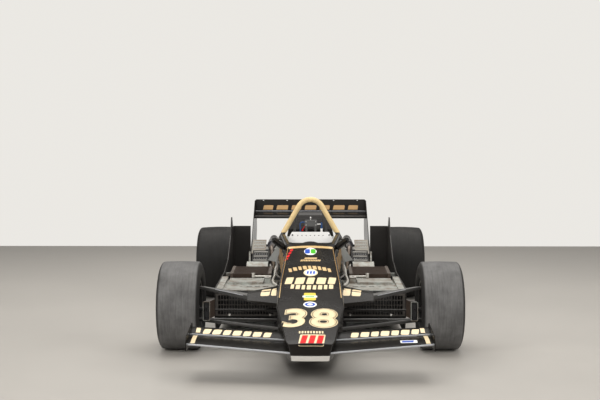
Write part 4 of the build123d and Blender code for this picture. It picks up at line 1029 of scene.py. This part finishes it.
def setEngineBolts():
    (baseX, baseZ), (outX, outZ), (upX, upZ) = cover["base"], cover["out"], cover["up"]
    hits = []
    for sign in signs:
        for row in cover["rows"]:
            x, z = baseX + upX * row + outX * cover["away"], baseZ + upZ * row + outZ * cover["away"]
            places = [placed(sign, x, station, z) for station in steps(*cover["bolts"])]
            hits += hitsOn(["cam_covers"], places, (-sign * outX, 0, -outZ))
    finishParts("cover_bolts", addHeads("cover", hits))
    look, hits = caseBolts, []
    for station in look["stations"]:
        middle = Vector((0, at(station), look["z"]))
        for number in range(look["count"]):
            angle = 2 * math.pi * (number + 0.5) / look["count"]
            way = Vector((math.sin(angle), 0, math.cos(angle)))
            found = hitsOn(["gearbox"], [middle + way * look["away"]], -way)
            hits += [hit for hit in found if (hit[0] - middle).length < look["near"]]
    back = [(look["width"] * math.cos(angle), at(look["back"]), look["backZ"] + look["height"] * math.sin(angle))
            for angle in steps(*look["turns"])]
    hits += hitsOn(["gearbox"], back, behind)
    finishParts("gearbox_bolts", addHeads("case", hits))


def setExhaustParts():
    look, x, z, end = exhaust, exhaust["x"], exhaust["z"], exhaust["end"]
    metal = []
    for station in look["clamps"]:
        middle = station + look["clampLength"] / 2
        metal += bothBars(((x, station, z), (x, station + look["clampLength"], z), look["clampRadius"], 32),
                          ((x, middle, look["boltTop"]), (x, middle, look["boltEnd"]), look["boltRadius"], 6))
    metal += [addRing(placed(sign, x, end + look["rimStart"], z), ahead, *look["rim"]) for sign in signs]
    finishParts("exhaust_clamps", metal, "machined")
    low, high, radius = look["bore"]
    dark = bothBars(((x, end + low, z), (x, end + high, z), radius, 32))
    finishParts("exhaust_bores", dark, "deepBlack")


def setTankParts():
    heads = addHeads("hoop", hitsOn(["roll_hoop"], bothSides(hoopBolts), inward))
    finishParts("tank_fittings", heads + [addBar(*cap) for cap in tankCaps])


def setTailLamp():
    z = tailLamp["z"]
    for place, normal in hitsOn(["gearbox"], [(0, at(tailLamp["search"]), z)], behind):
        housing, lens = [addBar((0, place.y + start, z), (0, place.y + end, z), radius, 28)
                         for start, end, radius in (tailLamp["housing"], tailLamp["lens"])]
        addModifier(lens, "BEVEL", width=tailLamp["rounding"], segments=3, limit_method="ANGLE")
        finishParts("tail_lamp_housing", [housing], "satinBlack")
        finishParts("tail_lamp_lens", [lens], "redPaint")


setSkirt()
setEngineBolts()
setExhaustParts()
setTankParts()
setTailLamp()
print("stage: engine dressed")


# Ribs and screws on the ducts and the tunnels' roofs
roofWorks = {
    "duct": dict(node="pod_ducts", middle=0.42, ribs=(1.43, 1.505, 1.585), screws=(1.465, 1.545), radius=0.0034,
                 finish="paleMetal"),
    "roof": dict(node="tunnel_roofs", middle=0.46, ribs=(2.262, 2.318, 2.378), screws=(2.29, 2.35), radius=0.0036,
                 finish="bareSheet"),
}
levelSearch = dict(step=0.006, low=0.3, high=0.64, drop=0.004)
ribLift, screwInset = 0.001, 0.01


def flatSpans(node, stations, middle):  # where a surface runs level to both sides of its middle
    spans = []
    for station in stations:
        for level, normal in hitsOn([node], [(middle, at(station), beside)], inward):
            ends = []
            for step in (-levelSearch["step"], levelSearch["step"]):
                x = middle
                while levelSearch["low"] < x < levelSearch["high"]:
                    hit = hitOn([node], (x + step, at(station), beside), inward)
                    if not hit or abs(hit[0].z - level.z) > levelSearch["drop"]:
                        break
                    x += step
                ends.append(x - 2 * step)
            spans.append((*ends, at(station), level.z))
    return spans


for name, look in roofWorks.items():
    ribs = [addBar((low, y, z + ribLift), (high, y, z + ribLift), look["radius"], 10)
            for low, high, y, z in flatSpans(look["node"], look["ribs"], look["middle"])]
    finishParts(f"{name}_ribs", ribs + [mirrored(rib) for rib in ribs], look["finish"])
    places = [(x, y, beside) for low, high, y, z in flatSpans(look["node"], look["screws"], look["middle"])
              for x in steps(low + screwInset, high - screwInset, 6)]
    screws = addHeads("roof", hitsOn([look["node"]], bothSides(places), inward))
    finishParts(f"{name}_screws", screws)
print("stage: ducts and roofs dressed")


# Tyres: half width, half tread, radius, drop at the tread's edge, bead, radii of the widest place and of the ribs
tyreShapes = {
    "front": dict(half=0.1425, tread=0.1125, radius=0.3, drop=0.003, bead=0.118, flank=0.238, ribs=(0.205, 0.262)),
    "rear": dict(half=0.2155, tread=0.18, radius=0.325, drop=0.008, bead=0.19, flank=0.248, ribs=(0.21, 0.278)),
}
tyreWall, tyreSeat, tyreSteps, tyreBeadLift = 0.009, 0.1653, 96, 0.015
rimBolts = dict(count=16, ring=0.146, away=1.6, valve=(0.012, 0.003))
tyreRib = dict(sunk=0.0006, radius=0.0014, segments=72)


def sideLine(shape, inset=0.0):  # half of the tyre's section, from the middle of the tread to the bead
    flank, low = shape["flank"], tyreSeat + tyreBeadLift
    edge, half = shape["radius"] - shape["drop"] - inset, shape["half"] - inset
    tread, bead = shape["tread"] - inset * 0.4, shape["bead"] - inset
    line = [(tread * share, edge + shape["drop"] * (1 - share * share)) for share in (0, 0.35, 0.7, 0.92)]
    line += [(tread + (half - tread) * math.sin(turn), flank + (edge - flank) * math.cos(turn))
             for turn in steps(0, math.pi / 2, 13)]
    line += [(bead + (half - bead) * math.cos(turn), flank - (flank - low) * math.sin(turn))
             for turn in steps(0, math.pi / 2, 7)[1:]]
    return line


def makeTyre(corner, kind, place):
    name, shape = f"{corner}_rubber", tyreShapes[kind]
    foot = [(shape["bead"], tyreSeat), (shape["bead"] - tyreWall, tyreSeat)]
    half = sideLine(shape) + foot + sideLine(shape, tyreWall)[::-1]
    loop = half + [(-x, radius) for x, radius in half[::-1]]
    loop = [point for index, point in enumerate(loop) if point != loop[index - 1]]
    data = bpy.data.meshes.new(name)
    edges = [(index, (index + 1) % len(loop)) for index in range(len(loop))]
    data.from_pydata([(x, 0, radius) for x, radius in loop], edges, [])
    tyre = inScene(name, data)
    addModifier(tyre, "SCREW", axis="X", angle=2 * math.pi, steps=tyreSteps, render_steps=tyreSteps, screw_offset=0,
                use_merge_vertices=True, merge_threshold=0.00001)
    settle(tyre, location=place)
    recalc(tyre)
    smooth(tyre, 40)
    finishPiece(tyre, f"{kind}Rubber", f"wheel_{corner}")
    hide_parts(f"{corner}_tyre")


def ribPlace(shape, radius):  # how far out the side wall is at a radius
    flank = shape["flank"]
    if radius > flank:
        turn = math.acos((radius - flank) / (shape["radius"] - shape["drop"] - flank))
        return shape["tread"] + (shape["half"] - shape["tread"]) * math.sin(turn)
    turn = math.asin((flank - radius) / (flank - tyreSeat - tyreBeadLift))
    return shape["bead"] + (shape["half"] - shape["bead"]) * math.cos(turn)


def dressWheel(kind, side, sign):
    corner, axle, shape = f"{kind}_{side}", axles[kind], tyreShapes[kind]
    x, y, z = placed(sign, axle["x"], axle["station"], axle["height"])
    makeTyre(corner, kind, (x, y, z))
    places = []
    for number in range(rimBolts["count"]):
        angle = 2 * math.pi * (number + 0.5) / rimBolts["count"]
        places.append((sign * rimBolts["away"], y + rimBolts["ring"] * math.sin(angle),
                       z + rimBolts["ring"] * math.cos(angle)))
    heads = addHeads("rim", hitsOn([f"{corner}_wheel"], places, (-sign, 0, 0)))
    top = (sign * rimBolts["away"], y, z + rimBolts["ring"])
    length, radius = rimBolts["valve"]
    for place, normal in hitsOn([f"{corner}_wheel"], [top], (-sign, 0, 0)):
        heads.append(addBar(place, place + Vector((sign * length, 0, 0)), radius, 8))
    finishParts(f"{corner}_rim_bolts", heads, body=f"wheel_{corner}")
    rings = [addRing((x + sign * (ribPlace(shape, radius) - tyreRib["sunk"]), y, z), (1, 0, 0), radius,
                     tyreRib["radius"], tyreRib["segments"]) for radius in shape["ribs"]]
    finishParts(f"{corner}_tyre_ribs", rings, f"{kind}Rubber", f"wheel_{corner}")


for kind in axles:
    dressWheel(kind, "left", 1)
    dressWheel(kind, "right", -1)
print("stage: wheels dressed")


# Cockpit: the mirrors' glass, switches, and gauges as x, height, radius and plain numbers
gauges = [(0.0, 0.578, 0.036, ("0", "2", "4", "6", "8", "10")), (-0.084, 0.566, 0.025, ("0", "5")),
          (0.084, 0.566, 0.025, ("0", "5"))]
# Sizes of a dial; needle's height and place, and the numbers' ring and height, are shares of its radius
dial = dict(y=at(0.851), back=-0.002, front=0.006, rim=0.0022, needle=(0.0018, 0.001, 0.62), needleUp=0.3,
            needleLift=0.0068, lift=0.0066, sweep=125, numberRing=0.7, numberHeight=0.24, numberDepth=0.0006)
switches = dict(xs=(-0.05, -0.017, 0.017, 0.05), start=(-0.002, 0.515), end=(0.014, 0.517), radius=0.003)
mirrorLook = dict(place=(0.243, 0.8765, 0.642), size=(0.116, 0.002, 0.034), lean=math.atan2(77, 102))


def setGauges():
    look, y = dial, dial["y"]
    faces, rims, marks = [], [], []
    for x, z, radius, numbers in gauges:
        faces.append(addBar((x, y + look["back"], z), (x, y + look["front"], z), radius, 32))
        rims.append(addRing((x, y + look["front"], z), ahead, radius, look["rim"], 32))
        width, depth, height = look["needle"]
        place = (x, y + look["needleLift"], z + radius * look["needleUp"])
        marks.append(addSlab(place, (width, depth, radius * height)))
        for text, degrees in zip(numbers, steps(-look["sweep"], look["sweep"], len(numbers))):
            angle, out = math.radians(degrees), radius * look["numberRing"]
            digit = addNumber(text, 0.0)
            bottom, top = reachOf(digit, 1)
            share = radius * look["numberHeight"] / (top - bottom)
            place = (x - out * math.sin(angle), y + look["lift"], z + out * math.cos(angle))
            settle(digit, scale=(share, share, 1), rotation_euler=(math.pi / 2, 0, math.pi), location=place)
            addModifier(digit, "SOLIDIFY", thickness=look["numberDepth"])
            marks.append(digit)
    (startY, startZ), (endY, endZ) = switches["start"], switches["end"]
    rims += [addBar((x, y + startY, startZ), (x, y + endY, endZ), switches["radius"], 8) for x in switches["xs"]]
    finishParts("gauge_faces", faces, "deepBlack")
    finishParts("gauge_rims", rims)
    finishParts("gauge_marks", marks, "whitePaint")


panes = [addSlab(placed(sign, *mirrorLook["place"]), mirrorLook["size"], 0.0, (0, -sign * mirrorLook["lean"], 0))
         for sign in signs]
finishParts("mirror_glass", panes, "mirrorGlass")
setGauges()
print("stage: cockpit dressed")


# Studio

studio = dict(
    focal=1047.0, level=1039.0, frameWidth=600.0, horizonRow=150.0, middleRow=200.0, centreColumn=310.3,
    middleColumn=300.0, cameraHeight=1.363, cameraAhead=7.125, floorSize=13.06, floorColour=(0.4, 0.38, 0.35),
    wallColour=(0.83, 0.81, 0.77), ceilingColour=(0.05, 0.048, 0.045), fillColour=(0.5, 0.49, 0.475),
    lampColour=(1, 0.98, 0.95),
)
# Place, target, size and power of each lamp
lamps = {
    "overhead": ((0, 0.2, 5.2), (0, 0, 0), (7, 5), 260),
    "frontLeft": ((-5.5, -6.0, 4.2), (0, 0, 0.4), (3, 3), 230),
    "frontRight": ((6.0, -4.0, 3.6), (0, 0, 0.4), (3, 3), 150),
    "front": ((0, -7.6, 2.5), (0, 0.2, 0.5), (3, 2), 165),
    "behind": ((0, 4.2, 6.0), (0, 0.5, 0.5), (6, 2.5), 120),
}


def setCamera():
    data = bpy.data.cameras.new("camera")
    data.sensor_width = 36.0
    data.lens = studio["focal"] / studio["frameWidth"] * data.sensor_width
    data.clip_end = 200.0
    camera = inScene("camera", data)
    down = math.atan((studio["middleRow"] - studio["horizonRow"]) / studio["level"])
    aside = math.atan((studio["centreColumn"] - studio["middleColumn"]) / studio["level"])
    camera.location = (0, at(-studio["cameraAhead"]), studio["cameraHeight"])
    camera.rotation_euler = (math.pi / 2 - down, 0, aside)
    bpy.context.scene.camera = camera


def setFloor():
    floor = addShape(bpy.ops.mesh.primitive_plane_add, size=studio["floorSize"], location=(0, 0, 0))
    floor.name = "floor"
    tree, shader, coords = newFinish("paleFloor")
    colour, tone = placeGroup(tree, "mottle", coords, Scale=0.8, Colour=studio["floorColour"], Spread=0.05)
    fill(tree, shader, {"Base Color": colour, "Roughness": roughFrom(tree, tone, 0.42, 0.55)})
    floor.data.materials.append(finishes["paleFloor"])


def setWorld():
    world = bpy.data.worlds.new("studio")
    bpy.context.scene.world = world
    world.use_nodes = True
    tree = world.node_tree
    tree.nodes.clear()
    coords = addNode(tree, "TexCoord", {}).outputs["Generated"]
    height = addRange(tree, axesOf(tree, coords)["Z"], 0.155, 0.26)
    colour = addMix(tree, height, studio["wallColour"], studio["ceilingColour"])
    ray = addNode(tree, "LightPath", {}).outputs
    seen = plus(tree, ray["Is Camera Ray"], ray["Is Glossy Ray"], clamp=True)
    seen = plus(tree, seen, ray["Is Transmission Ray"], clamp=True)
    shown = addMix(tree, seen, studio["fillColour"], colour)
    background = addNode(tree, "Background", {"Color": shown, "Strength": 1.0})
    addNode(tree, "OutputWorld", {0: background.outputs[0]})


def addLamp(name, place, target, size, power):
    data = bpy.data.lights.new(name, "AREA")
    setAll(data, shape="RECTANGLE", size=size[0], size_y=size[1], energy=power, color=studio["lampColour"])
    lamp = inScene(name, data)
    lamp.location = place
    lamp.rotation_euler = (Vector(target) - Vector(place)).to_track_quat("-Z", "Y").to_euler()
    lamp.visible_glossy = name != "front"  # no glare of it in a view from behind


setCamera()
setFloor()
setWorld()
for name, values in lamps.items():
    addLamp(name, *values)
bpy.context.scene.view_settings.view_transform = "Standard"
print("stage: studio ready")
